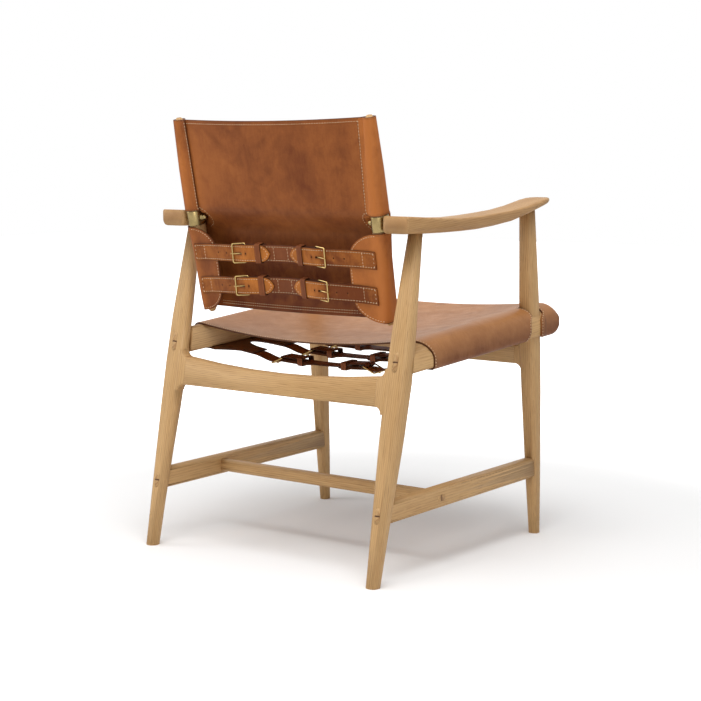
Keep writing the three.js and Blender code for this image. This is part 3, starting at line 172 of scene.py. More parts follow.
def soft_box(name, place, aim, width, height, power):
    light = bpy.data.lights.new(name, "AREA")
    light.shape = "RECTANGLE"
    light.size, light.size_y = width, height
    light.energy = power
    lamp = linked(name, light)
    lamp.location = place
    lamp.rotation_euler = (Vector(place) - Vector(aim)).to_track_quat("Z", "Y").to_euler()
    return lamp


seat_middle = (0, 0, 0.42)
soft_box("overhead_box", (-0.5, 0.9, 2.9), seat_middle, 2.2, 2.2, 66)
soft_box("left_box", (2.6, 1.4, 1.6), seat_middle, 1.4, 1.8, 20)
gloss_box = soft_box("gloss_box", (-2.6, 2.3, 0.9), (0, 0.2, 0.65), 1.5, 1.7, 24)
gloss_box.visible_diffuse = False


# Oak frame
# Raked legs, rails, stretchers and paddle arms of solid oak, soaped pale, with the grain along each
# piece. The through tenons are spread by wedges of a darker wood.
sides = ((1, "left"), (-1, "right"))
pith_offset = (0.062, 0.041)
ring_spacing, figure, pore_share = 0.0031, 0.008, 0.55
pattern_outputs = {"Color": ("Color",), "Float": ("Roughness", "Height")}


def node_group(name, kind, inputs, outputs):
    """inputs and outputs hold the names of the group's sockets, by the kind of socket"""
    group = bpy.data.node_groups.new(name, kind)
    for way, kinds in (("INPUT", inputs), ("OUTPUT", outputs)):
        for socket_kind, labels in kinds.items():
            for label in labels:
                group.interface.new_socket(label, in_out=way, socket_type="NodeSocket" + socket_kind)
    return group, add(group, "NodeGroupInput").outputs


def noise(tree, place, scale, detail, rough=0.5, distort=0.0):
    values = {"Vector": place, "Scale": scale, "Detail": detail, "Roughness": rough, "Distortion": distort}
    return add(tree, "ShaderNodeTexNoise", values).outputs[0]


def stretched(tree, place, scale):
    return add(tree, "ShaderNodeVectorMath", {0: place, 1: scale}, operation="MULTIPLY").outputs[0]


def wood_group():
    inputs = {
        "Vector": ("Along",), "Color": ("Pale", "Dark", "Pore"),
        "Float": ("Ring Spacing", "Figure", "Pore Share"),
    }
    group, given = node_group("wood_grain", "ShaderNodeTree", inputs, pattern_outputs)

    def streaks(scale, detail):
        return noise(group, stretched(group, given["Along"], scale), 1.0, detail, 0.6)

    across = add(group, "ShaderNodeSeparateXYZ", {0: given["Along"]}).outputs
    squares = [maths(group, "POWER", plus(group, across[i], pith_offset[i]), 2.0) for i in (0, 1)]
    drift = times(group, streaks((9, 9, 2.2), 1.0), given["Figure"])
    ripple = times(group, streaks((70, 70, 5), 2.0), 0.0035)
    radius = plus(group, plus(group, maths(group, "SQRT", plus(group, *squares)), drift), ripple)
    share = maths(group, "FRACT", maths(group, "DIVIDE", radius, given["Ring Spacing"]))
    early = span(group, share, 0.0, 0.62, 1.0, 0.0, smooth=True)
    late = span(group, share, 0.86, 1.0, smooth=True)
    ring = plus(group, early, late, clamp=True)
    fibre = streaks((1500, 1500, 26), 2.0)
    cloud = streaks((30, 30, 3.5), 3.0)
    tone = plus(group, times(group, ring, 0.27), span(group, fibre, 0.36, 0.66, -0.14, 0.26))
    tone = plus(group, tone, span(group, cloud, 0.3, 0.7, -0.1, 0.42), clamp=True)
    colour = blended(group, tone, given["Pale"], given["Dark"])
    pores = span(group, streaks((1150, 1150, 30), 1.0), 0.57, 0.66)
    pores = times(group, pores, span(group, ring, 0.0, 1.0, 0.25, 1.0))
    pores = times(group, pores, given["Pore Share"])
    colour = blended(group, pores, colour, given["Pore"])
    flecks = span(group, streaks((420, 60, 24), 1.0), 0.64, 0.7, 0.0, 0.35)
    colour = blended(group, flecks, colour, given["Pale"])
    height = maths(group, "SUBTRACT", times(group, fibre, 0.35), pores)
    rough = span(group, tone, 0.0, 1.0, 0.46, 0.58)
    add(group, "NodeGroupOutput", {"Color": colour, "Roughness": rough, "Height": height})
    return group


wood_grain = wood_group()


def dress(tree, shader, colour, rough, height, strength, depth, rest):
    """Gives the shader its colour, its roughness, a bump of some strength and depth, and the rest"""
    bump = add(tree, "ShaderNodeBump", {"Height": height, "Strength": strength, "Distance": depth})
    plug(tree, shader, {"Base Color": colour, "Roughness": rough, "Normal": bump.outputs[0], **rest})


def wood_finish(name, main, turn, shift, pale, dark, pore, end_share):
    made, tree, shader, place = bare_material(name)
    mapped = add(tree, "ShaderNodeMapping", {"Vector": place, "Location": shift, "Rotation": turn})
    values = {
        "Along": mapped.outputs[0], "Pale": pale, "Dark": dark, "Pore": pore,
        "Ring Spacing": ring_spacing, "Figure": figure, "Pore Share": pore_share,
    }
    grain = add(tree, "ShaderNodeGroup", values, node_tree=wood_grain).outputs
    facing = add(tree, "ShaderNodeTexCoord").outputs["Normal"]
    facing = add(tree, "ShaderNodeSeparateXYZ", {0: facing}).outputs[main]
    sawn = span(tree, maths(tree, "ABSOLUTE", facing), 0.86, 0.97, 0.0, end_share)
    end_grain = (pale[0] * 0.5, pale[1] * 0.39, pale[2] * 0.33, 1)
    colour = blended(tree, sawn, grain["Color"], end_grain)
    shine = {"Specular IOR Level": 0.3}
    dress(tree, shader, colour, grain["Roughness"], grain["Height"], 0.35, 0.0004, shine)
    return made


def joined_copy(node, name):
    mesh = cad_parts[node].data.copy()
    mesh.name = name
    shell = bmesh.new()
    shell.from_mesh(mesh)
    bmesh.ops.remove_doubles(shell, verts=shell.verts, dist=0.00002)
    bmesh.ops.dissolve_limit(shell, angle_limit=math.radians(0.4), verts=shell.verts, edges=shell.edges)
    bmesh.ops.triangulate(shell, faces=shell.faces)
    shell.to_mesh(mesh)
    shell.free()
    mesh.materials.clear()
    mesh.shade_smooth()
    mesh.set_sharp_from_angle(angle=math.radians(34))
    return linked(name, mesh)


def along_grain(piece, main, offset):
    """The turn and shift that lay a piece's length along the grain, with its middle beside the pith"""
    spots = [vert.co for vert in piece.data.vertices]
    low, high = min(spot[main] for spot in spots), max(spot[main] for spot in spots)
    end_length = (high - low) * 0.2
    ends = []
    for start, stop in ((low, low + end_length), (high - end_length, high)):
        near = [spot for spot in spots if start <= spot[main] <= stop]
        ends.append(sum(near, Vector()) / len(near))
    turn = (ends[1] - ends[0]).rotation_difference(Vector((0, 0, 1)))
    middle = turn @ ((ends[0] + ends[1]) / 2)
    return turn.to_euler("XYZ"), (-middle[0], -middle[1], offset)


def stands_for(piece, node, body):
    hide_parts(node)
    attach(piece, body)


def wooden(node, main, colours, offset=0.0, body="frame", proud=(), end_share=0.6):
    """proud is how far from the ends the tenon starts, and how far its end stands out of the joint"""
    piece = joined_copy(node, node + "_wood")
    if proud:
        ends = [vert.co[main] for vert in piece.data.vertices]
        low, high = min(ends), max(ends)
        for vert in piece.data.vertices:
            if vert.co[main] > high - proud[0]:
                vert.co[main] += proud[1]
            elif main == sideways and vert.co[main] < low + proud[0]:
                vert.co[main] -= proud[1]
    turn, shift = along_grain(piece, main, offset)
    piece.data.materials.append(wood_finish("oak_" + node, main, turn, shift, *colours, end_share))
    stands_for(piece, node, body)


oak_colours = ((0.57, 0.352, 0.155, 1), (0.36, 0.19, 0.067, 1), (0.2, 0.095, 0.033, 1))
# The armrests take a darker copy of the same oak: painted shade for sides that lie in shade.
shaded_arm_colours = ((0.47, 0.272, 0.112, 1), (0.29, 0.14, 0.046, 1), (0.16, 0.07, 0.024, 1))
wedge_colours = ((0.16, 0.075, 0.03, 1), (0.085, 0.038, 0.016, 1), (0.04, 0.02, 0.01, 1))
sideways, lengthways, upright = 0, 1, 2
tenon_proud, tenon_reach, wedge_reach = 0.0003, 0.012, 0.004
through = (tenon_reach, tenon_proud)
frame_oak = (
    ("rear_leg", upright, oak_colours, (), 0.6), ("front_leg", upright, oak_colours, (), 0.6),
    ("side_rail", lengthways, oak_colours, through, 0.6),
    ("side_stretcher", lengthways, oak_colours, through, 0.6),
    ("armrest", lengthways, shaded_arm_colours, (), 0.35),
)
offset, grain_step = 0.0, 0.37
for kind, main, colours, proud, end_share in frame_oak:
    for _, end in sides:
        offset += grain_step
        wooden(f"{kind}_{end}", main, colours, offset, proud=proud, end_share=end_share)
for node, proud in (("rear_rail", ()), ("front_rail", ()), ("cross_stretcher", (wedge_reach, tenon_proud))):
    offset += grain_step
    wooden(node, sideways, oak_colours, offset, proud=proud)
wedged = (("side_rail", lengthways), ("side_stretcher", lengthways), ("cross_stretcher", sideways))
proud = (wedge_reach, 2 * tenon_proud)
for kind, main in wedged:
    for _, end in sides:
        wooden(f"{kind}_wedge_{end}", main, wedge_colours, proud=proud)
for _, end in sides:
    offset += grain_step
    wooden(f"back_post_{end}", upright, oak_colours, offset, body="backrest")


# Back leather
# One piece of thick saddle leather, cut to shape, waxed and burnished along its edges. A sleeve is
# sewn round each post above the pivots, and an open wing wraps each post below them.
mm = 0.001
leather = 2.8
skin = 1.7
lap = 3.1
lean = math.radians(12)
pivot_y, pivot_z = 197.925, 617.0
post_x, post_splay = 214.3, 0.0284
seam_from_post, flap_past_seam = 17.5, 3.0
back_top, back_bottom, top_dip = 185.0, -175.5, 3.0
fitting_reach = 15.5
panel_bow = 7.0
cut_x, cut_radius, cut_reach, nut_reach = 200.3, 18, 27, 9.5
wing_free, wing_shift = 153.5, 3
wing_high, high_x, high_across, high_rise = -61.5, 215.5, 62, 46
wing_low, low_x, low_across, low_rise = -125.5, 213.5, 60, 50
wing_level, wing_span, wing_bow, bow_gain = 18.4, 207, 3.7, 0.07
low_seam, top_seam = 8.5, 4.0
bend_reach, rear_bend, front_bend = 9.0, 0.55, 0.3
# Painted light: the back leather is made lighter on the right side than on the left, as if more light falls
# there.
painted_side_light = {1: 0.08, -1: 0.62}
front_end_share = 0.3
post_sizes = (
    (-183, 14, 17, 6.5),
    (-150, 17.5, 28, 8.5),
    (-62, 17.5, 28, 8.5),
    (-13.5, 24, 32, 10),
    (13.5, 24, 32, 10),
    (94, 22, 26, 9),
    (188, 16, 15, 7),
)


def mix(start, end, share):
    return start + (end - start) * share


def smooth(share):
    share = min(max(share, 0.0), 1.0)
    return share * share * (3 - 2 * share)



def spread(start, end, count):
    return [mix(start, end, step / count) for step in range(count + 1)]


def quarter(count):
    """Angles of a quarter turn, from none to the whole"""
    return [step / count * math.pi / 2 for step in range(count + 1)]


def meshed(shell, name):
    mesh = bpy.data.meshes.new(name)
    shell.to_mesh(mesh)
    shell.free()
    return mesh


def post_at(height):
    for low, high in zip(post_sizes, post_sizes[1:]):
        if height <= high[0] or high is post_sizes[-1]:
            share = (height - low[0]) / (high[0] - low[0])
            return [mix(a, b, share) for a, b in zip(low[1:], high[1:])]


def post_centre(height):
    return post_x + post_splay * height


def front_depth(height):
    return -(post_at(height)[1] / 2 + skin)


def seam_depth(height):
    above = mix(low_seam, top_seam, height / back_top)
    return mix(front_depth(height), above, smooth((height + 26) / 52))


def cut_out(height):
    return cut_x - math.sqrt(cut_radius ** 2 - height ** 2)


def hem_edge(height):
    return post_centre(height) - seam_from_post - flap_past_seam


def panel_edge(height):
    if abs(height) >= cut_reach:
        return hem_edge(height)
    if abs(height) > fitting_reach:
        share = (abs(height) - fitting_reach) / (cut_reach - fitting_reach)
        return mix(cut_out(fitting_reach), hem_edge(height), share)
    return cut_out(height)


def panel_depth(x, height):
    return seam_depth(height) + panel_bow * (1 - (x / hem_edge(height)) ** 2)


def wing_back(x, height):
    bow = wing_bow + bow_gain * (-height - fitting_reach)
    return wing_level + bow * math.sin(math.pi * min(abs(x), wing_span) / wing_span) ** 2


def on_back(x, rear, height):
    y = pivot_y + rear * math.cos(lean) + height * math.sin(lean)
    z = pivot_z + height * math.cos(lean) - rear * math.sin(lean)
    return Vector((x, y, z)) * mm


def fitting_relief(height):
    return 2.6 * (1 - smooth((abs(height) - 14) / 6))


quarters = ((1, 1), (-1, 1), (-1, -1), (1, -1))


def corner_arc(corner, width, depth, corner_round, reach, steps, start=0.0, end=1.0):
    """Points round one corner of a section, which lie reach away from the middle of its round"""
    x, y = (sign * (size / 2 - corner_round) for sign, size in zip(quarters[corner], (width, depth)))
    angles = [(corner + share) * math.pi / 2 for share in spread(start, end, steps)]
    return [(x + reach * math.cos(angle), y + reach * math.sin(angle)) for angle in angles]


def post_corner(height, corner, start=0.0, end=1.0, relief=0.0):
    width, depth, corner_round = post_at(height)
    arc = corner_arc(corner, width, depth, corner_round, corner_round + skin + relief, 14, start, end)
    return [(post_centre(height) + x, rear) for x, rear in arc]


def lengths_along(path):
    return [0.0, *accumulate(math.dist(a, b) for a, b in zip(path, path[1:]))]


def resampled(path, count, rounds=0):
    for _ in range(rounds):
        eased = [path[0]]
        for a, b in zip(path, path[1:]):
            eased += [tuple(mix(p, q, share) for p, q in zip(a, b)) for share in (0.25, 0.75)]
        path = eased + [path[-1]]
    lengths = lengths_along(path)
    points, at = [], 0
    for step in range(count + 1):
        goal = lengths[-1] * step / count
        while at < len(path) - 2 and lengths[at + 1] < goal:
            at += 1
        share = (goal - lengths[at]) / max(lengths[at + 1] - lengths[at], 1e-9)
        points.append(tuple(mix(p, q, min(share, 1.0)) for p, q in zip(path[at], path[at + 1])))
    return points, lengths[-1]


def front_path(height):
    """From the panel's edge, in front of the pivot's nut and the post, to the start of its outer corner"""
    centre, relief = post_centre(height), fitting_relief(height)
    width, depth, corner_round = post_at(height)
    edge = panel_edge(height)
    seam = (centre - seam_from_post, seam_depth(height))
    if abs(height) < nut_reach:
        seam = (seam[0] - 5, min(seam[1], -math.sqrt(nut_reach ** 2 - height ** 2)))
    middle = (centre - width / 2 + corner_round, -(depth / 2 - corner_round))
    reach = corner_round + skin + relief
    away = (seam[0] - middle[0], seam[1] - middle[1])
    angle = math.atan2(away[1], away[0]) % (2 * math.pi) + math.acos(min(1.0, reach / math.hypot(*away)))
    start = min(max(angle / (math.pi / 2) - 2, 0.0), 0.98)
    path = [(edge, panel_depth(edge, height)), seam]
    path += post_corner(height, 2, start, 1.0, relief=relief)
    path += post_corner(height, 3, 0.0, front_end_share, relief=relief)
    return resampled(path, 40, 1)


def sleeve_path(height):
    seam, rear = post_centre(height) - seam_from_post, seam_depth(height) + lap
    path = [front_path(height)[0][-1]] + post_corner(height, 3, front_end_share + 0.1, 1.0)
    path += post_corner(height, 0) + post_corner(height, 1, 0.0, 0.65)
    path += [(seam + 1, rear), (seam - flap_past_seam, rear)]
    return resampled(path, 52, 1)


def wing_edge(height):
    if height > wing_high:
        return high_x - high_across * math.sqrt(max(0.0, 1 - ((height - wing_high) / high_rise) ** 2))
    if height < wing_low:
        return low_x - low_across * math.sqrt(max(0.0, 1 - ((height - wing_low) / low_rise) ** 2))
    return wing_free


def wing_round(height):
    power = mix(2.6, 3.2, smooth(1 + (height + fitting_reach) / high_rise))
    return power, post_at(height)[0] / 2 + skin + lap, wing_back(post_centre(height), height)


def wing_rear(x, height):
    power, across, depth = wing_round(height)
    share = (x - post_centre(height) + wing_shift) / across
    if share <= 0:
        return wing_back(x, height)
    return depth * max(0.0, 1 - share ** power) ** (1 / power)


def wing_path(height):
    inner = post_centre(height) - wing_shift
    power, across, depth = wing_round(height)
    path = [front_path(height)[0][-1]] + post_corner(height, 3, front_end_share + 0.1, 1.0)
    free = wing_edge(height)
    for angle in quarter(40):
        x = inner + across * math.cos(angle) ** (2 / power)
        if x < free:
            break
        path.append((x, depth * math.sin(angle) ** (2 / power)))
    for x in spread(inner, wing_free, 30)[1:]:
        if free < x < path[-1][0]:
            path.append((x, wing_back(x, height)))
    path.append((free, wing_rear(free, height)))
    return resampled(path, 64, 1)


class Sheet:
    """Grids of points with a distance along them, sewn into one skin with a thickness."""

    def __init__(self, name):
        self.name = name
        self.shell = bmesh.new()
        self.map = self.shell.loops.layers.uv.new("UVMap")
        self.edge = self.shell.verts.layers.float.new("edge")
        self.stretch = self.shell.verts.layers.float.new("stretch")

    def grid(self, rows, keep=lambda row, column: True):
        """Each point is (place, across, along, distance to the free edge, tone with painted light and
        shade).
        """
        made = []
        for row in rows:
            line = []
            for place, _, _, edge, stretch in row:
                vert = self.shell.verts.new(place)
                vert[self.edge] = edge
                vert[self.stretch] = stretch
                line.append(vert)
            made.append(line)
        for i in range(len(rows) - 1):
            for j in range(len(rows[0]) - 1):
                if not keep(i, j):
                    continue
                corners = ((i, j), (i, j + 1), (i + 1, j + 1), (i + 1, j))
                face = self.shell.faces.new([made[a][b] for a, b in corners])
                for loop, (a, b) in zip(face.loops, corners):
                    loop[self.map].uv = (rows[a][b][1] * mm, rows[a][b][2] * mm)

    def made(self, outwards):
        loose = [vert for vert in self.shell.verts if not vert.link_faces]
        bmesh.ops.delete(self.shell, geom=loose, context="VERTS")
        bmesh.ops.remove_doubles(self.shell, verts=self.shell.verts, dist=0.02 * mm)
        bmesh.ops.recalc_face_normals(self.shell, faces=self.shell.faces)
        face = max(self.shell.faces, key=lambda one: one.calc_center_median().dot(outwards))
        if face.normal.dot(outwards) < 0:
            bmesh.ops.reverse_faces(self.shell, faces=self.shell.faces)
        mesh = meshed(self.shell, self.name)
        mesh.shade_smooth()
        piece = linked(self.name, mesh)
        wall = piece.modifiers.new("thickness", "SOLIDIFY")
        wall.thickness = leather * mm
        wall.offset = 0
        wall.use_even_offset = True
        rim = piece.modifiers.new("eased_rim", "BEVEL")
        rim.width = 0.7 * mm
        rim.segments = 2
        rim.limit_method = "ANGLE"
        rim.angle_limit = math.radians(55)
        rim.use_clamp_overlap = True
        return piece


low_rows = [wing_low - low_rise * math.cos(angle) for angle in quarter(14)]
high_rows = [wing_high + high_rise * math.sin(angle) for angle in quarter(14)]
wing_rows = low_rows + spread(wing_low, wing_high, 16)[1:-1] + high_rows
cut_rows = spread(-fitting_reach, fitting_reach, 14)[1:-1]
sleeve_rows = spread(fitting_reach, back_top, 40)


def dipped(x, height):
    share = x / panel_edge(height)
    return height - top_dip * max(0.0, 1 - share ** 2) * smooth((height - 129.5) / 55.5)


def panel_point(x, height):
    side = min(back_top - height, height - back_bottom)
    if abs(height) < 40:
        side = min(side, math.hypot(cut_x - abs(x), height) - cut_radius)
    # paler towards the posts, with painted shade below the pivots, between and behind the straps
    stretch = 0.2 * smooth((abs(x) - 150) / 45)
    stretch -= 0.5 * smooth((-height - 5) / 60) * smooth((192 - abs(x)) / 60)
    return on_back(x, panel_depth(x, height), dipped(x, height)), x, height, max(side, 0.0), stretch


def side_rows(heights, path_of, side, first=0.0, open_end=True):
    rows = []
    for height in heights:
        path, length = path_of(height)
        row = []
        for step, (x, rear) in enumerate(path):
            along = length * step / (len(path) - 1)
            away = min(back_top - height, height - back_bottom)
            if open_end:
                away = min(away, abs(abs(height) - fitting_reach), length - along)
            # Paler where the leather is bent round the post, plus the painted side light that lightens the
            # right side.
            bend_and_painted_light = math.exp(-((x - post_centre(height)) / bend_reach) ** 2)
            bend_and_painted_light = bend_and_painted_light * (rear_bend if rear > 0 else front_bend) + painted_side_light[side]
            place = on_back(side * x, rear, height)
            row.append((place, side * (200 + first + along), height, max(away, 0.0), bend_and_painted_light))
        rows.append(row)
    return rows


back = Sheet("back_leather_hide")
shares = [step / 28 for step in range(-28, 29)]
back.grid([
    [panel_point(share * panel_edge(height), height) for share in shares]
    for height in wing_rows + cut_rows + sleeve_rows
])
for side in (1, -1):
    back.grid(side_rows(wing_rows + cut_rows + sleeve_rows, front_path, side, open_end=False))
    back.grid(side_rows(sleeve_rows, sleeve_path, side, 40))
    back.grid(side_rows(wing_rows, wing_path, side, 40))
back_hide = back.made(Vector((0, 1, 0)))


# Waxed saddle leather has a tight grain and a cloudy dye that the wax evened out. It is paler where it
# is bent hard round wood, and darker and rounder along the cut edges, with a creased line beside them.
# The same tone input also carries painted light and shade: a lighter right side of the back, a lighter
# seat top with a darker outer side, and painted shade on the panel below the pivots.
def leather_group():
    inputs = {
        "Color": ("Deep", "Warm", "Edge Color"), "Vector": ("Place",),
        "Float": ("Edge Distance", "Tone And Painted Light", "Crease At", "Grain Scale", "Mottle", "Gloss"),
    }
    group, given = node_group("saddle_leather", "ShaderNodeTree", inputs, pattern_outputs)
    spot, edge, edge_colour = given["Place"], given["Edge Distance"], given["Edge Color"]
    cloud = span(group, noise(group, spot, 9.0, 3.0, 0.6, 0.6), 0.34, 0.68)
    patch = span(group, noise(group, spot, 34.0, 4.0, 0.6, 0.8), 0.3, 0.72)
    speck = span(group, noise(group, spot, 420.0, 2.0, 0.55), 0.35, 0.7)
    pulled = noise(group, stretched(group, spot, (240, 240, 26)), 1.0, 3.0)
    tone = plus(group, times(group, cloud, 0.55), times(group, patch, 0.33))
    tone = plus(group, tone, times(group, speck, 0.12))
    tone = plus(group, maths(group, "SUBTRACT", tone, 0.5), span(group, pulled, 0.3, 0.7, -0.07, 0.07))
    tone = plus(group, times(group, tone, given["Mottle"]), 0.42)
    # The tone input adds pull-up paleness where bent, together with painted light and shade.
    tone = plus(group, tone, times(group, given["Tone And Painted Light"], 0.6), clamp=True)
    colour = blended(group, tone, given["Deep"], given["Warm"])
    grain = add(group, "ShaderNodeTexVoronoi", {"Vector": spot, "Scale": given["Grain Scale"]}).outputs[0]
    pits = span(group, grain, 0.05, 0.75)
    wrinkle = span(group, noise(group, spot, 130.0, 4.0, 0.65, 1.2), 0.3, 0.7)
    fine = times(group, noise(group, spot, 1500.0, 2.0, 0.55), 0.3)
    dark = span(group, edge, 0.0003, 0.0016, 0.85, 0.0, smooth=True)
    crease = maths(group, "ABSOLUTE", maths(group, "SUBTRACT", edge, given["Crease At"]))
    crease = span(group, crease, 0.0002, 0.0009, 1.0, 0.0, smooth=True)
    colour = blended(group, times(group, crease, 0.3), colour, edge_colour)
    colour = blended(group, dark, colour, edge_colour)
    height = plus(group, times(group, pits, -0.5), times(group, wrinkle, 0.35))
    height = maths(group, "SUBTRACT", plus(group, height, fine), times(group, crease, 2.2))
    rough = plus(group, span(group, patch, 0.0, 1.0, 0.06, -0.04), given["Gloss"])
    rough = plus(group, rough, times(group, pits, 0.05))
    add(group, "NodeGroupOutput", {"Color": colour, "Roughness": rough, "Height": height})
    return group


saddle_leather = leather_group()


def leather_finish(name, deep, warm, edge_colour, mottle, gloss, shine, crease=0.003, coarse=900.0,
                   shift=0.0):
    made, tree, shader, place = bare_material(name)
    moved = add(tree, "ShaderNodeMapping", {"Vector": place, "Location": (shift, shift, shift)}).outputs[0]
    edge = add(tree, "ShaderNodeAttribute", attribute_name="edge").outputs["Fac"]
    stretch = add(tree, "ShaderNodeAttribute", attribute_name="stretch").outputs["Fac"]
    values = {
        "Deep": deep, "Warm": warm, "Edge Color": edge_colour, "Place": moved,
        "Edge Distance": times(tree, edge, mm), "Tone And Painted Light": stretch,
        "Crease At": crease, "Grain Scale": coarse, "Mottle": mottle, "Gloss": gloss,
    }
    hide = add(tree, "ShaderNodeGroup", values, node_tree=saddle_leather).outputs
    shine = {"Specular IOR Level": shine}
    dress(tree, shader, hide["Color"], hide["Roughness"], hide["Height"], 0.3, 0.0003, shine)
    return made


back_hide.data.materials.append(leather_finish(
    "back_hide_finish", (0.09, 0.015, 0.0035, 1), (0.46, 0.148, 0.033, 1), (0.07, 0.02, 0.006, 1),
    mottle=0.55, gloss=0.46, shine=0.16,
))
stands_for(back_hide, "back_leather", "backrest")
# Seat leather
# One hide slung between the side rails: it wraps round each rail, is cut out round the front leg, and
# ends under the rail in flaps that the straps draw together. Between two straps the flap is scalloped.
seat_shift = 15.7255
rail_rear, rail_front, nose, nose_power = 172.4, -307.371, 24.0, 2.6
rail_bottom, rail_top, bottom_rise, top_rise = 360, 406, 32, 40
straight_end = rail_front + nose
sag_x, rear_sag, front_sag, middle_sag = 245.0, 19, 12, 9.5
flap_x, flap_hang, flap_free, front_flap = 241.0, 20, 165, 222
rear_flap, rear_flap_length = (179, 200.5, 236), 45
shoulder_x, shoulder_across, shoulder_deep = 252, 31.7, 32
corner_x, corner_across, corner_deep = 277, 6.7, 5
leg_half, leg_gap_x = 19.0, 242.0
leg_front, leg_rear = -236.43 - leg_half, -236.43 + leg_half
front_lap = -238.371
flare_end = -141.0
seat_rear, wrap_rear, seat_front, curve_start = 138.0, 117.0, -305.451, 78
strap_places = (60.0, -30.0, -120.0)
scallops = ((15, 60, 23), (-75, 60, 23), (front_lap + 40, 62, 58))
flare_height, flare_bend, flare_low = 22, 18.6, -3.4


def rail_at(y):
    bottom = rail_bottom + (rail_rear - y) * bottom_rise / (rail_rear - rail_front)
    top = rail_top + (rail_rear - y) * top_rise / (rail_rear - rail_front)
    share = 1.0
    if y < straight_end:
        share = (1 - min((straight_end - y) / nose, 1) ** nose_power) ** (1 / nose_power)
    middle, half = (bottom + top) / 2, (top - bottom) / 2 * share
    return middle - half, middle + half, share


def seat_sag(y):
    share = (seat_rear - y) / (seat_rear - seat_front)
    return mix(rear_sag, front_sag, share) + 4 * middle_sag * share * (1 - share)


def flap_edge(y):
    edge = mix(front_flap, flap_free, smooth(4 * (front_lap - y) / front_lap))
    if y > curve_start:
        share = math.sqrt(min((y - curve_start) / rear_flap_length, 1.0))
        edge = mix(mix(*rear_flap[:2], share), mix(*rear_flap[1:], share), share)
    for middle, depth, half in scallops:
        if abs(y - middle) < half:
            edge = max(edge, flap_free + depth * math.sqrt(1 - ((y - middle) / half) ** 2))
    return edge


top_steps, shoulder_steps, side_steps, corner_steps, under_steps = 34, 24, 8, 6, 26
shoulder_start = top_steps
side_start = shoulder_start + shoulder_steps
under_start = side_start + side_steps + corner_steps
seat_columns = under_start + under_steps


def seat_path(y):
    bottom, top, share = rail_at(y)
    level = top + skin
    dish = [(x, level - seat_sag(y) * (1 - (x / sag_x) ** 2)) for x in spread(0, leg_gap_x, top_steps)]
    points, path = dish[:-1], [dish[-1], (sag_x, level)]
    deep = shoulder_deep * share
    for angle in quarter(32)[::-1]:
        rise = (deep + skin) * math.sin(angle)
        path.append((shoulder_x + shoulder_across * math.cos(angle), top - deep + rise))
    points += resampled(path, shoulder_steps)[0]
    low = bottom + corner_deep * share
    points += [(shoulder_x + shoulder_across, z) for z in spread(top - deep, low, side_steps)[1:]]
    for angle in quarter(corner_steps)[1:]:
        drop = (corner_deep * share + skin) * math.sin(angle)
        points.append((corner_x + corner_across * math.cos(angle), low - drop))
    path = [points[-1]]
    for x in spread(flap_x, flap_edge(y), 16):
        path.append((x, bottom - skin - flap_hang * (1 - (x / flap_x) ** 2)))
    points += resampled(path, under_steps)[0][1:]
    return points


def leg_flare(height):
    """How far the leg's cut-out opens towards the rail's underside, on a curve"""
    if height > flare_height:
        return 0.0
    drop = flare_height - max(height, flare_low)
    root = math.sqrt(flare_height ** 2 - flare_bend * drop)
    return flare_height * ((flare_height - root) / flare_bend) ** 2


def beside_leg(y, column):
    return smooth((seat_path(y)[column][0] - 275.5) / 8)


def rear_end(column):
    return mix(seat_rear, wrap_rear, smooth((column - shoulder_start) / shoulder_steps))


def seat_place(y, column):
    if y > curve_start:
        y = curve_start + (y - curve_start) * (rear_end(column) - curve_start) / (seat_rear - curve_start)
    elif column > shoulder_start and leg_rear - 0.01 <= y < flare_end:
        height = seat_path(y)[column][1] - rail_at(y)[0]
        open_by = 1.15 * leg_flare(height) + 13 * beside_leg(y, column)
        y += open_by * (1 - (y - leg_rear) / (flare_end - leg_rear))
    elif column > shoulder_start and y < leg_front + 0.01:
        y += 15 * beside_leg(y, column) * (y - seat_front) / (leg_front - seat_front)
    return y


def on_seat(x, y, z):
    return Vector((x, y + seat_shift, z)) * mm


def rounded(start, end, count, at_both=True):
    """Places that lie closer together towards the end, or towards both ends, without the last"""
    angles = [step / count * math.pi for step in range(count)]
    return [mix(start, end, (1 - math.cos(a)) / 2 if at_both else math.sin(a / 2)) for a in angles]


nose_rows = [straight_end - 0.92 * nose * math.sin(angle) for angle in quarter(9)[:0:-1]]
seat_rows = nose_rows + spread(straight_end, leg_front, 5)[:-1] + spread(leg_front, leg_rear, 6)[:-1]
seat_rows += rounded(leg_rear, front_lap + 98, 18, at_both=False)
seat_rows += spread(front_lap + 98, -98, 5)[:-1] + rounded(-98, -52, 18) + spread(-52, -8, 5)[:-1]
seat_rows += rounded(-8, 38, 18) + spread(38, curve_start - 0.2, 5)
seat_rows += [curve_start + 0.02] + [curve_start + 60 * (step / 12) ** 1.2 for step in range(1, 13)]


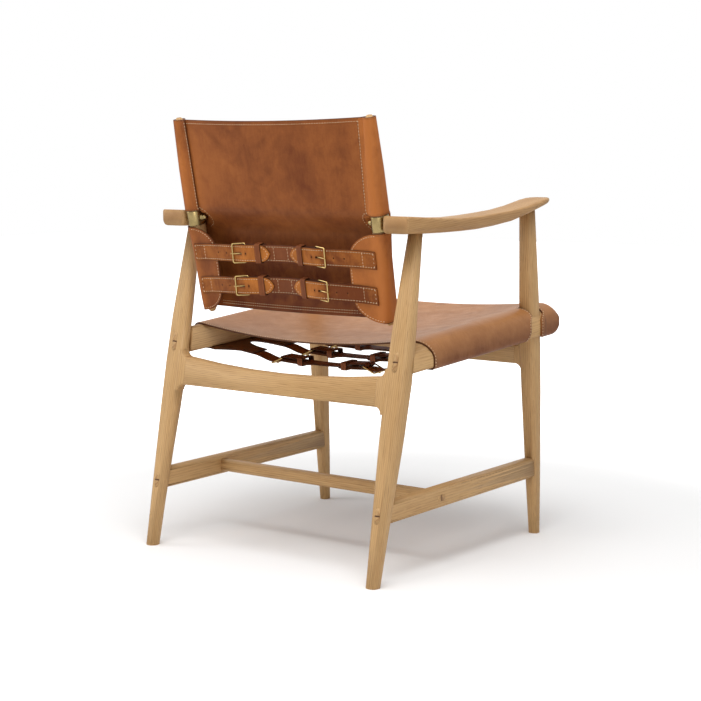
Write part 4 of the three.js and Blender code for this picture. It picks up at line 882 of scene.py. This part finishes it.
def seat_grid_row(y, side):
    row = []
    places = [seat_place(y, column) for column in range(seat_columns + 1)]
    cache = {place: seat_path(place) for place in set(places)}
    spots = [cache[place][column] for column, place in enumerate(places)]
    runs = lengths_along(spots)
    for column, ((x, z), place) in enumerate(zip(spots, places)):
        away = min(rear_end(column) - place, place - seat_front, runs[-1] - runs[column])
        beside = max(leg_front - place, place - leg_rear)
        if column > shoulder_start:
            away = min(away, abs(beside))
        else:
            away = min(away, math.hypot(max(beside, 0), leg_gap_x - x))
        # painted light and shade: paler on the dish and over the shoulder of the rail, where the overhead
        # light falls, and darker down its outer side, which is in shade
        bend_and_painted_light = 0.9 * math.exp(-((column - shoulder_start - 9) / 9) ** 2)
        bend_and_painted_light += 0.6 * (1 - smooth((column - shoulder_start) / 10))
        bend_and_painted_light -= 0.3 * smooth((column - side_start + 3) / 10)
        row.append((on_seat(side * x, place, z), side * runs[column], place, max(away, 0.0), bend_and_painted_light))
    return row


notch_first, notch_last = seat_rows.index(leg_front), seat_rows.index(leg_rear)
seat = Sheet("seat_leather_hide")
for side in (1, -1):
    seat.grid(
        [seat_grid_row(y, side) for y in seat_rows],
        lambda row, column: column < shoulder_start or not notch_first <= row < notch_last,
    )
seat_hide = seat.made(Vector((0, 0, 1)))
seat_hide.data.materials.append(leather_finish(
    "seat_hide_finish", (0.15, 0.044, 0.010, 1), (0.43, 0.19, 0.066, 1), (0.05, 0.014, 0.005, 1),
    mottle=0.6, gloss=0.37, shine=0.2, shift=3.1,
))
stands_for(seat_hide, "seat_leather", "frame")


# Straps
# Two layers of saddle leather, skived at the edges, creased and stitched. A billet is sewn to each wing
# or flap and runs through a buckle that the centre strap is folded round; a keeper holds its tip.
strap_half, strap_thickness = 16.0, 2.6
strap_rise, wire, wrap = 1.6, 1.3, 3.2
centre_rise, heel_height, over_rise, lay_rise = 1.3, -1.9, 4.2, 1.528
buckle_length, fold_length, tip_round = 25.0, 44.0, 22.0
stitch_inset = 3.6
keeper_size, keeper_round, keeper_middle, keeper_half = (34.4, 14.0), 2.0, -0.3, 6.5
punch_radius, punch_top = 1.35, 8.0
strap_profile = (
    (0.0, 0.0), (0.18, 0.62), (0.8, 1.02), (2.5, 1.16), (3.1, 0.98), (3.6, 0.88), (4.1, 0.98),
    (4.9, 1.24), (9.0, 1.3), (16.0, 1.3),
)
strap_underside = ((0.8, 1.1), (4, 1.25), (16, 1.3))
keeper_profile = (
    (-6.5, 0), (-6.2, 0.65), (-5.4, 0.9), (-3.9, 0.78), (-3.3, 0.9), (3.3, 0.9), (3.9, 0.78), (5.4, 0.9),
    (6.2, 0.65), (6.5, 0), (5.9, -0.85), (-5.9, -0.85),
)


def strap_section(half):
    upper = [(half * (1 - inset / strap_half), rise, inset) for inset, rise in strap_profile]
    lower = [(half * (1 - inset / strap_half), -rise, inset) for inset, rise in strap_underside]
    right = upper[::-1] + lower
    left = [(-across, rise, inset) for across, rise, inset in lower[-2::-1] + upper[:-1]]
    return right + left


def dense(points, step=2.4):
    spots = [tuple(point) for point in points]
    result = [spots[0]]
    for a, b in zip(spots, spots[1:]):
        count = max(1, math.ceil(math.dist(a[:2], b[:2]) / step))
        result += [tuple(mix(p, q, share / count) for p, q in zip(a, b)) for share in range(1, count + 1)]
    return result


def skinned(shell, rings, closed_path=False, coords=None, insets=None, tone_shifts=None):
    """Joins the rings into a tube; coords and insets are its map and edge distances, and the last argument
    gives each ring a tone shift
    """
    layer = shell.verts.layers.float.get("edge") or shell.verts.layers.float.new("edge")
    tone_layer = shell.verts.layers.float.get("stretch") or shell.verts.layers.float.new("stretch")
    uv_layer = shell.loops.layers.uv.verify()
    made = []
    for index, ring in enumerate(rings):
        verts = [shell.verts.new(place) for place in ring]
        if insets:
            for vert, inset in zip(verts, insets):
                vert[layer] = inset
        for vert in verts if tone_shifts else ():
            vert[tone_layer] = tone_shifts[index]
        made.append(verts)
    count = len(rings[0])
    spans = len(rings) if closed_path else len(rings) - 1
    for i in range(spans):
        j = (i + 1) % len(rings)
        for k in range(count):
            n = (k + 1) % count
            face = shell.faces.new((made[i][k], made[i][n], made[j][n], made[j][k]))
            if coords:
                for loop, (a, b) in zip(face.loops, ((i, k), (i, n), (j, n), (j, k))):
                    loop[uv_layer].uv = (coords[a][0], coords[a][1][b])
    if not closed_path:
        shell.faces.new(made[0][::-1])
        shell.faces.new(made[-1])


def ribbon(shell, points, rule, tone_shifts=None):
    """points are (along, height, half width)"""
    rings, coords = [], []
    for i, (along, height, half) in enumerate(points):
        before, after = points[max(i - 1, 0)], points[min(i + 1, len(points) - 1)]
        run = math.hypot(after[0] - before[0], after[1] - before[1]) or 1.0
        up = ((after[1] - before[1]) / run, -(after[0] - before[0]) / run)
        section = strap_section(half)
        rings.append([
            rule(along + rise * up[0], across, height + rise * up[1]) for across, rise, _ in section
        ])
        coords.append((along * mm, [across * mm for across, _, _ in section]))
    skinned(shell, rings, coords=coords, insets=[inset for _, _, inset in strap_section(strap_half)],
            tone_shifts=tone_shifts)


def ramp(start, end, low, high, steps=12):
    shares = spread(0, 1, steps)[:-1]
    return [(mix(start, end, share), mix(low, high, smooth(share)), strap_half) for share in shares]


def tip_half(share):
    return max(0.0, 1 - share ** 2.1) ** 0.7


def billet_points(row):
    over = row["heel"] + 2 * wire
    hump = row["bar_rise"] - wire - 0.3 - strap_thickness / 2
    points = [(row["sewn"], strap_rise, strap_half), (row["flat"] + 2, strap_rise, strap_half)]
    points += ramp(row["flat"], row["bar"], strap_rise, hump) + ramp(row["bar"], over, hump, over_rise)
    points += [(over, over_rise, strap_half), (row["tip"] + tip_round, over_rise, strap_half)]
    points = dense(points)
    for angle in quarter(14)[1:]:
        share = math.sin(angle)
        half = strap_half * mix(1, tip_half(share), 0.97)
        points.append((row["tip"] + tip_round * (1 - share), over_rise, half))
    return points


def centre_points(row):
    heel, back_side = row["heel"], heel_height - wrap
    half = [(heel - fold_length, back_side), (heel - 1, back_side)]
    for step in range(15):
        angle = (step / 14 - 0.5) * math.pi
        half.append((heel + wrap * math.cos(angle), heel_height + wrap * math.sin(angle)))
    half += [(heel - 3, centre_rise), (0, centre_rise)]
    points = dense([(along, height, strap_half) for along, height in half])
    return points[:-1] + [(-along, height, width) for along, height, width in points[::-1]]


def keeper_loop(shell, middle, rule):
    rings = []
    for corner in range(4):
        arcs = [
            corner_arc(corner, *keeper_size, keeper_round, keeper_round + grow, 4)
            for _, grow in keeper_profile
        ]
        for spots in zip(*arcs):
            rings.append([
                rule(middle + along, across, keeper_middle + rise)
                for (along, _), (across, rise) in zip(keeper_profile, spots)
            ])
    insets = [keeper_half - abs(along) for along, _ in keeper_profile]
    skinned(shell, rings, closed_path=True, insets=insets, tone_shifts=[0.5] * len(rings))


def finished(shell, name, finish, sharp=50, smooth_shade=True):
    bmesh.ops.recalc_face_normals(shell, faces=shell.faces)
    mesh = meshed(shell, name)
    if smooth_shade:
        mesh.shade_smooth()
        mesh.set_sharp_from_angle(angle=math.radians(sharp))
    mesh.materials.append(finish)
    return linked(name, mesh)


def settled(piece):
    """Turns what the piece's modifiers make into its own plain mesh"""
    graph = bpy.context.evaluated_depsgraph_get()
    shape = piece.evaluated_get(graph)
    mesh = bpy.data.meshes.new_from_object(shape, preserve_all_data_layers=True, depsgraph=graph)
    mesh.name = piece.name
    piece.modifiers.clear()
    piece.data = mesh
    return mesh


def punched(piece, shapes):
    """shapes are closed outlines through the strap, each a pair of end rings"""
    cutter_shell = bmesh.new()
    for pair in shapes:
        skinned(cutter_shell, pair)
    cutter = finished(cutter_shell, "punch", piece.data.materials[0], smooth_shade=False)
    cut = piece.modifiers.new("punched", "BOOLEAN")
    cut.operation, cut.object, cut.solver = "DIFFERENCE", cutter, "EXACT"
    settled(piece).set_sharp_from_angle(angle=math.radians(42))
    bpy.data.objects.remove(cutter)


def circle(count, turn=0.0):
    angles = [(step + turn) / count * 2 * math.pi for step in range(count)]
    return [(math.cos(angle), math.sin(angle)) for angle in angles]


def round_punch(along, rule, floor=-1.2, radius=punch_radius, length=0.0):
    """The end rings of a hole, or of a slot where it has a length"""
    return [
        [rule(along + math.copysign(length / 2, c) + radius * c, radius * s, height) for c, s in circle(20)]
        for height in (floor, punch_top)
    ]


def back_rule(height, rise, sewn):
    def rule(x, y, z):
        level = height - y + rise * (1 - abs(min(max(x / sewn, -1), 1)) ** 3)
        return x, wing_back(x, level) + lay_rise + z, level
    return rule


rail_slope = math.atan(bottom_rise / (rail_rear - rail_front))


def seat_rule(y):
    hang = rail_at(y)[0] - 3.1

    def rule(x, across, z):
        z += flap_hang * (1 - (x / flap_x) ** 2)
        return (x, y - across * math.cos(rail_slope) - z * math.sin(rail_slope),
                hang + across * math.sin(rail_slope) - z * math.cos(rail_slope))
    return rule


back_row = dict(
    bar=107.5, bar_rise=5.0, flat=158.0, tip=24.0, keeper=49.0, place=on_back, body="backrest",
    holes=(125, 147, 77),
)
seat_row = dict(
    bar=122.0, bar_rise=11.0, flat=166.0, tip=28.0, keeper=52.0, place=on_seat, body="frame",
    holes=(77,), sewn=205.0,
)
strap_rows = {
    "upper_back": dict(back_row, sewn=211.0, rule=back_rule(-62, 4.5, 211.0)),
    "lower_back": dict(back_row, sewn=206.0, rule=back_rule(-126.5, 9, 206.0)),
}
for name, y in zip(("rear_seat", "middle_seat", "front_seat"), strap_places):
    strap_rows[name] = dict(seat_row, rule=seat_rule(y))
for row in strap_rows.values():
    row["heel"] = row["bar"] - buckle_length

strap_make = dict(gloss=0.42, shine=0.14, crease=0.0036, coarse=1100.0)
billet_finish = leather_finish(
    "billet_finish", (0.15, 0.036, 0.007, 1), (0.56, 0.19, 0.034, 1), (0.05, 0.014, 0.004, 1),
    mottle=1.0, shift=5.7, **strap_make,
)
centre_finish = leather_finish(
    "centre_strap_finish", (0.1, 0.024, 0.007, 1), (0.27, 0.082, 0.026, 1), (0.035, 0.01, 0.004, 1),
    mottle=0.8, shift=8.2, **strap_make,
)


def placed(row, side):
    def rule(x, y, z):
        a, b, c = row["rule"](x, y, z)
        return row["place"](side * a, b, c)
    return rule


for name, row in strap_rows.items():
    heel = row["heel"]
    for side, end in sides:
        rule = placed(row, side)
        shell = bmesh.new()
        points = billet_points(row)
        # The billets are lighter on the left than on the right, and paler from the tip to past the buckle
        # than towards the sewn end.
        tone = 0.1 if side > 0 else -0.15
        tone_shifts = [tone + mix(0.35, -0.3, smooth((along - heel) / 34)) for along, _, _ in points]
        ribbon(shell, points, rule, tone_shifts)
        billet = finished(shell, f"{name}_billet_{end}_strap", billet_finish)
        punches = [round_punch(hole, rule) for hole in row["holes"] if hole > heel + 20]
        punches += [round_punch(hole, rule, floor=1.0) for hole in row["holes"] if hole < heel]
        punches.append(round_punch(heel + 11.5, rule, floor=-0.6, length=14.0))
        punched(billet, punches)
        stands_for(billet, f"{name}_billet_{end}", row["body"])
    shell = bmesh.new()
    ribbon(shell, centre_points(row), placed(row, 1))
    for side, _ in sides:
        keeper_loop(shell, row["keeper"], placed(row, side))
    strap = finished(shell, f"{name}_centre_leather", centre_finish)
    punched(strap, [round_punch(heel, placed(row, side), -9.0, 1.4, 10.0) for side, _ in sides])
    stands_for(strap, f"{name}_centre_strap", row["body"])
# Brass fittings
# A collar bushes each post where its pivot bolt passes; the bolt's shoulder keeps it off the armrest
# and a domed cap nut holds it inside. The buckles are bent wire frames with loose prongs.
def brass_finish(name, colour, rough):
    made, tree, shader, place = bare_material(name)
    cloud = noise(tree, place, 60.0, 4.0)
    lines = noise(tree, stretched(tree, place, (1500.0, 1500.0, 160.0)), 1.0, 2.0)
    dull = tuple(value * 0.72 for value in colour[:3]) + (1,)
    colour = blended(tree, span(tree, cloud, 0.35, 0.7), colour, dull)
    rough = span(tree, cloud, 0.3, 0.7, rough, rough + 0.1)
    rough = plus(tree, rough, span(tree, lines, 0.3, 0.7, 0.0, 0.05))
    dress(tree, shader, colour, rough, lines, 0.06, 0.0002, {"Metallic": 1.0})
    return made


collar_brass = brass_finish("collar_brass", (0.42, 0.31, 0.135, 1), 0.2)
buckle_brass = brass_finish("buckle_brass", (0.62, 0.43, 0.17, 1), 0.15)


def ring_points(width, depth, corner_round, steps):
    arcs = [corner_arc(corner, width, depth, corner_round, corner_round, steps) for corner in range(4)]
    return [spot for arc in arcs for spot in arc[:-1]]


collar_profile = (
    (-13.5, 0.3), (-13.5, 2.0), (-13.1, 2.4), (-12.4, 2.5),
    (12.4, 2.5), (13.1, 2.4), (13.5, 2.0), (13.5, 0.3),
)
for side, end in sides:
    shell = bmesh.new()
    rings = []
    width, depth, corner_round = post_at(0)
    for height, extra in collar_profile:
        outline = ring_points(width + 2 * extra, depth + 2 * extra, corner_round + extra, 12)
        if extra > 1:
            across, deep = width / 2 + extra, depth / 2 + extra
            outline = [(across * c, deep * s) for c, s in circle(len(outline))]
        rings.append([on_back(side * (post_centre(height) + x), rear, height) for x, rear in outline])
    skinned(shell, rings, closed_path=True)
    collar = finished(shell, f"collar_{end}_ring", collar_brass, sharp=38)
    stands_for(collar, f"collar_{end}", "backrest")


def turned(profile, start_x, side, node):
    shell = bmesh.new()
    rings = []
    for along, radius in profile:
        ring = [(start_x - along, radius * c, radius * s) for c, s in circle(40)]
        rings.append([Vector((side * x, pivot_y + y, pivot_z + z)) * mm for x, y, z in ring])
    skinned(shell, rings)
    piece = finished(shell, node + "_turned", collar_brass, sharp=40)
    stands_for(piece, node, "frame")


bolt_start, nut_start = 247.0, 199.5
bolt_profile = (
    (0, 2.6), (0.4, 3), (16.3, 3), (16.3, 7.6), (16.6, 8), (17.6, 8), (17.9, 7.6), (17.9, 3), (53.8, 3),
    (54.2, 2.6),
)
nut_profile = [(0, 6.6), (0.4, 7), (2.4, 7), (2.8, 6.7), (3.2, 5.9)]
for angle in quarter(12):
    nut_profile.append((3.6 + 7.3 * math.sin(angle), 5.8 * math.cos(angle) + 0.02))
nut_profile += [(10.9, 0.01), (7.3, 0.01), (7.3, 3.3)]
for side, end in sides:
    turned(bolt_profile, bolt_start, side, f"pivot_bolt_{end}")
    turned(nut_profile, nut_start, side, f"pivot_nut_{end}")


def wire_through(shell, spots, radii, closed_path, hint):
    rings = []
    count = len(spots)
    for i, spot in enumerate(spots):
        before = spots[(i - 1) % count] if closed_path else spots[max(i - 1, 0)]
        after = spots[(i + 1) % count] if closed_path else spots[min(i + 1, count - 1)]
        along = (after - before).normalized()
        across = hint.cross(along).normalized()
        up = along.cross(across)
        rings.append([spot + (across * c + up * s) * radii[i] * mm for c, s in circle(12, 0.5)])
    skinned(shell, rings, closed_path=closed_path)


buckle_wire, prong_wire, prong_tip, clearance = 1.5, 1.1, 0.75, 0.3


def buckle_spots(row, rule):
    spots = []
    for along, across in ring_points(buckle_length, 2 * (strap_half + 0.4 + wire), 3.0, 8):
        share = along / buckle_length + 0.5
        rise = mix(heel_height, row["bar_rise"], share)
        spots.append(rule(row["heel"] + buckle_length * share, across, rise))
    dense_spots = []
    for a, b in zip(spots, spots[1:] + spots[:1]):
        parts = max(1, math.ceil((b - a).length / (3 * mm)))
        dense_spots += [a.lerp(b, part / parts) for part in range(parts)]
    return dense_spots


def prong_spots(row, rule, hooked):
    heel, bar = row["heel"], row["bar"]
    hook = wire + clearance + prong_wire
    rest = row["bar_rise"] + wire + (clearance if hooked else -clearance) + prong_wire
    if hooked:
        angles = [-math.pi / 2 - step / 12 * math.pi for step in range(13)]
        path = [(heel + hook * math.cos(angle), heel_height + hook * math.sin(angle)) for angle in angles]
    else:
        path = [(heel, heel_height + wire / 2), (heel + wire, heel_height + hook)]
    path += [(mix(path[-1][0], bar - wire, s / 5), mix(path[-1][1], rest, s / 5)) for s in (1, 2, 3, 4)]
    path += [(bar - wire, rest), (bar + 2 * wire, rest)]
    return [rule(along, 0, height) for along, height in path]


for name, row in strap_rows.items():
    hooked = row["body"] == "backrest"
    for side, end in sides:
        rule = placed(row, side)
        start = rule(row["bar"], 0, 0)
        upwards_here = (rule(row["bar"], 0, 1) - start).normalized()
        across_strap = (rule(row["bar"], 1, 0) - start).normalized()
        shell = bmesh.new()
        spots = buckle_spots(row, rule)
        wire_through(shell, spots, [buckle_wire] * len(spots), True, upwards_here)
        tongue = prong_spots(row, rule, hooked)
        tongue_shell = bmesh.new() if hooked else shell
        radii = [prong_wire] * (len(tongue) - 1) + [prong_tip]
        wire_through(tongue_shell, tongue, radii, False, across_strap)
        if hooked:
            prong = finished(tongue_shell, f"{name}_prong_{end}_wire", buckle_brass, sharp=60)
            stands_for(prong, f"{name}_prong_{end}", row["body"])
        buckle = finished(shell, f"{name}_buckle_{end}_wire", buckle_brass, sharp=60)
        stands_for(buckle, f"{name}_buckle_{end}", row["body"])


# Stitching
# Waxed pale thread in even saddle stitches: along the hems and sleeves, round the wings and cut-outs,
# and down both edges of every strap. The stitches of each part that moves together are one piece.
stitch_sizes = {
    "Pitch": 0.0055, "Stitch Length": 0.0034, "Thread Radius": 0.00062, "Slant": 0.09, "Seed": 4,
}


def stitch_tree():
    inputs = {
        "Geometry": ("Geometry",), "Float": ("Pitch", "Stitch Length", "Thread Radius", "Slant"),
        "Int": ("Seed",), "Material": ("Thread",),
    }
    group, given = node_group("saddle_stitch", "GeometryNodeTree", inputs, {"Geometry": ("Geometry",)})

    def step(kind, values, out=0, **settings):
        return add(group, kind, values, **settings).outputs[out]

    curve = step("GeometryNodeMeshToCurve", {0: given["Geometry"]})
    spaced = step("GeometryNodeResampleCurve", {"Curve": curve, "Length": given["Pitch"]}, mode="LENGTH")
    tangent = step("GeometryNodeInputTangent", {})
    outward = step("GeometryNodeInputNamedAttribute", {"Name": "outward"}, data_type="FLOAT_VECTOR")
    along = step("FunctionNodeAlignRotationToVector", {"Vector": tangent}, axis="X")
    values = {"Rotation": along, "Vector": outward}
    standing = step("FunctionNodeAlignRotationToVector", values, axis="Z", pivot_axis="X")
    values = {2: times(group, given["Slant"], 0.6), 3: given["Slant"], 8: given["Seed"]}
    slant = step("FunctionNodeRandomValue", values, 1, data_type="FLOAT")
    twist = step("FunctionNodeAxisAngleToRotation", {"Axis": (0, 0, 1), "Angle": slant})
    leaning = step("FunctionNodeRotateRotation", {0: standing, 1: twist}, rotation_space="LOCAL")
    bead = step("GeometryNodeMeshUVSphere", {"Segments": 6, "Rings": 4, "Radius": 1.0})
    thread_radius, half_length = given["Thread Radius"], times(group, given["Stitch Length"], 0.5)
    size = step("ShaderNodeCombineXYZ", {0: half_length, 1: thread_radius, 2: thread_radius})
    values = {"Points": spaced, "Instance": bead, "Rotation": leaning, "Scale": size}
    laid = step("GeometryNodeInstanceOnPoints", values)
    whole = step("GeometryNodeRealizeInstances", {0: laid})
    eased = step("GeometryNodeSetShadeSmooth", {0: whole})
    dyed = step("GeometryNodeSetMaterial", {"Geometry": eased, "Material": given["Thread"]})
    add(group, "NodeGroupOutput", {0: dyed})
    return group


def thread_finish():
    made, tree, shader, place = bare_material("waxed_thread")
    cloud = noise(tree, place, 90.0, 2.0)
    twist = noise(tree, place, 2600.0, 1.0)
    colour = blended(tree, span(tree, cloud, 0.4, 0.75), (0.80, 0.60, 0.38, 1), (0.6, 0.4, 0.21, 1))
    dress(tree, shader, colour, 0.6, twist, 0.4, 0.0002, {"Specular IOR Level": 0.3})
    return made


half_leather = leather / 2 + 0.15
strap_surface = 1.15
stitch_lines = {"backrest": [], "frame": []}


def back_line(spots, face=1):
    """spots are (x, rear, height, slope of the surface along x)"""
    line = []
    for x, rear, height, slope in spots:
        size = math.hypot(1, slope)
        out = (-slope / size * face, face / size)
        place = on_back(x + out[0] * half_leather, rear + out[1] * half_leather, height)
        line.append((place, place - on_back(x, rear, height)))
    stitch_lines["backrest"].append(line)


def steps(start, end, size=3.0):
    count = max(2, math.ceil(abs(end - start) / size))
    return [mix(start, end, step / count) for step in range(count + 1)]


def on_panel(x, height):
    return x, panel_depth(abs(x), height), dipped(x, height), 0.0


def on_wing(side, x, height):
    slope = (wing_rear(x + 0.5, height) - wing_rear(x - 0.5, height)) * side
    return side * x, wing_rear(x, height), height, slope


hem, seam_inset, wing_inset, leg_inset = 6.5, 3.2, 3.5, 3.6
hem_reach = post_centre(back_top) - seam_from_post - 6
for face in (1, -1):
    back_line([on_panel(x, back_top - hem) for x in steps(-hem_reach, hem_reach)], face)
    for rise in (hem, 11.0):
        back_line([on_panel(x, back_bottom + rise) for x in steps(-188, 188)], face)
for side, _ in sides:
    seam_rows = steps(fitting_reach + 4, back_top - hem)
    across = [post_centre(h) - seam_from_post - 1.4 for h in seam_rows]
    back_line([(side * x, seam_depth(h) + lap, h, 0.0) for x, h in zip(across, seam_rows)])
    back_line([on_panel(side * x, h) for x, h in zip(across, seam_rows)], -1)
    reach = cut_radius + seam_inset
    angles = spread(-1.25, 1.25, 14)
    back_line([on_panel(side * (cut_x - reach * math.cos(a)), reach * math.sin(a)) for a in angles])
    across, rise = high_across - wing_inset, high_rise - wing_inset
    angles = steps(0.06, math.pi / 2, 0.07)
    outline = [(high_x - across * math.sin(a), wing_high + rise * math.cos(a)) for a in angles]
    outline += [(wing_free + wing_inset, height) for height in steps(-63, -124)]
    across, rise = low_across - wing_inset, low_rise - wing_inset
    angles = steps(0.03, math.pi / 2 - 0.06, 0.07)
    outline += [(low_x - across * math.cos(a), wing_low - rise * math.sin(a)) for a in angles]
    back_line([on_wing(side, x, h) for x, h in outline])


def strap_line(row, spots, rule):
    """spots are (along, height, across)"""
    line = []
    for i, (along, height, across) in enumerate(spots):
        before, after = spots[max(i - 1, 0)], spots[min(i + 1, len(spots) - 1)]
        run, climb = after[0] - before[0], after[1] - before[1]
        size = math.copysign(math.hypot(run, climb), run) if abs(run) > 0.01 else 0.0
        up = (-climb / size, run / size) if size else (0.0, 1.0)
        place = rule(along + strap_surface * up[0], across, height + strap_surface * up[1])
        line.append((place, place - rule(along, across, height)))
    stitch_lines[row["body"]].append(line)


seam_half = strap_half - stitch_inset
tip_shares = [math.sin(angle) for angle in quarter(8)]
for name, row in strap_rows.items():
    for side, _ in sides:
        rule = placed(row, side)
        edge = [(along, height) for along, height, half in billet_points(row) if half > strap_half - 0.01]
        edge = [spot for spot in edge if spot[0] < row["sewn"] - 3]
        tip = [(row["tip"] + 5 + (tip_round - 5) * (1 - share), seam_half * tip_half(share))
               for share in tip_shares]
        line = [(along, height, seam_half) for along, height in edge]
        line += [(along, over_rise, half) for along, half in tip]
        line += [(along, over_rise, -half) for along, half in tip[-2::-1]]
        line += [(along, height, -seam_half) for along, height in edge[::-1]]
        strap_line(row, line, rule)
        for inset in (stitch_inset, 27):
            strap_line(row, [(row["sewn"] - inset, strap_rise, across) for across in steps(-11, 11)], rule)
    rule, reach = placed(row, 1), row["tip"] + 6
    for across in (seam_half, -seam_half):
        strap_line(row, [(along, centre_rise, across) for along in steps(-reach, reach)], rule)
    for along in (-16, 16):
        strap_line(row, [(along, centre_rise, across) for across in steps(-9, 9)], rule)


def seat_spot(side, y, column, back_off=0.0):
    path = seat_path(y)
    here = path[column]
    before, after = path[max(column - 1, 0)], path[min(column + 1, seat_columns)]
    size = math.dist(before, after) or 1.0
    along = ((after[0] - before[0]) / size, (after[1] - before[1]) / size)
    out = (-along[1], along[0])
    x, z = here[0] - along[0] * back_off, here[1] - along[1] * back_off
    place = on_seat(side * (x + out[0] * half_leather), y, z + out[1] * half_leather)
    return place, place - on_seat(side * x, y, z)


for side, _ in sides:
    outer = range(shoulder_start + 1, seat_columns)
    front_cut = [seat_spot(side, seat_place(leg_front, c) - leg_inset, c) for c in outer]
    rear_cut = [seat_spot(side, seat_place(leg_rear, c) + leg_inset, c) for c in outer]
    inner = [seat_spot(side, y, shoulder_start, leg_inset) for y in steps(leg_front - 3, leg_rear + 3)]
    rear_hem = [seat_spot(side, seat_place(seat_rear - 4.6, c), c) for c in range(under_start + 9)]
    stitch_lines["frame"] += [front_cut[::-1] + inner + rear_cut, rear_hem]
    for start, end in ((-290, leg_front - 6), (leg_rear + 80, 66)):
        stitch_lines["frame"].append([seat_spot(side, y, seat_columns, 4.0) for y in steps(start, end)])

saddle_stitch = stitch_tree()
items = saddle_stitch.interface.items_tree
sockets = {item.name: item.identifier for item in items if item.in_out == "INPUT"}
stitch_sizes["Thread"] = thread_finish()
for body, slot in (("backrest", "back_leather"), ("frame", "seat_leather")):
    shell = bmesh.new()
    outward_layer = shell.verts.layers.float_vector.new("outward")
    for line in stitch_lines[body]:
        row = []
        for place, out in line:
            vert = shell.verts.new(place)
            vert[outward_layer] = Vector(out).normalized()
            row.append(vert)
        for pair in zip(row, row[1:]):
            shell.edges.new(pair)
    piece = linked(f"{body}_stitching", meshed(shell, f"{body}_seams"))
    sewing = piece.modifiers.new("stitches", "NODES")
    sewing.node_group = saddle_stitch
    for key, value in stitch_sizes.items():
        sewing[sockets[key]] = value
    settled(piece)
    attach(piece, body)

visual_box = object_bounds()
sizes = {"cad": cad_box, "visual": visual_box}
{name: [list(corner) for corner in value] for name, value in sizes.items()}
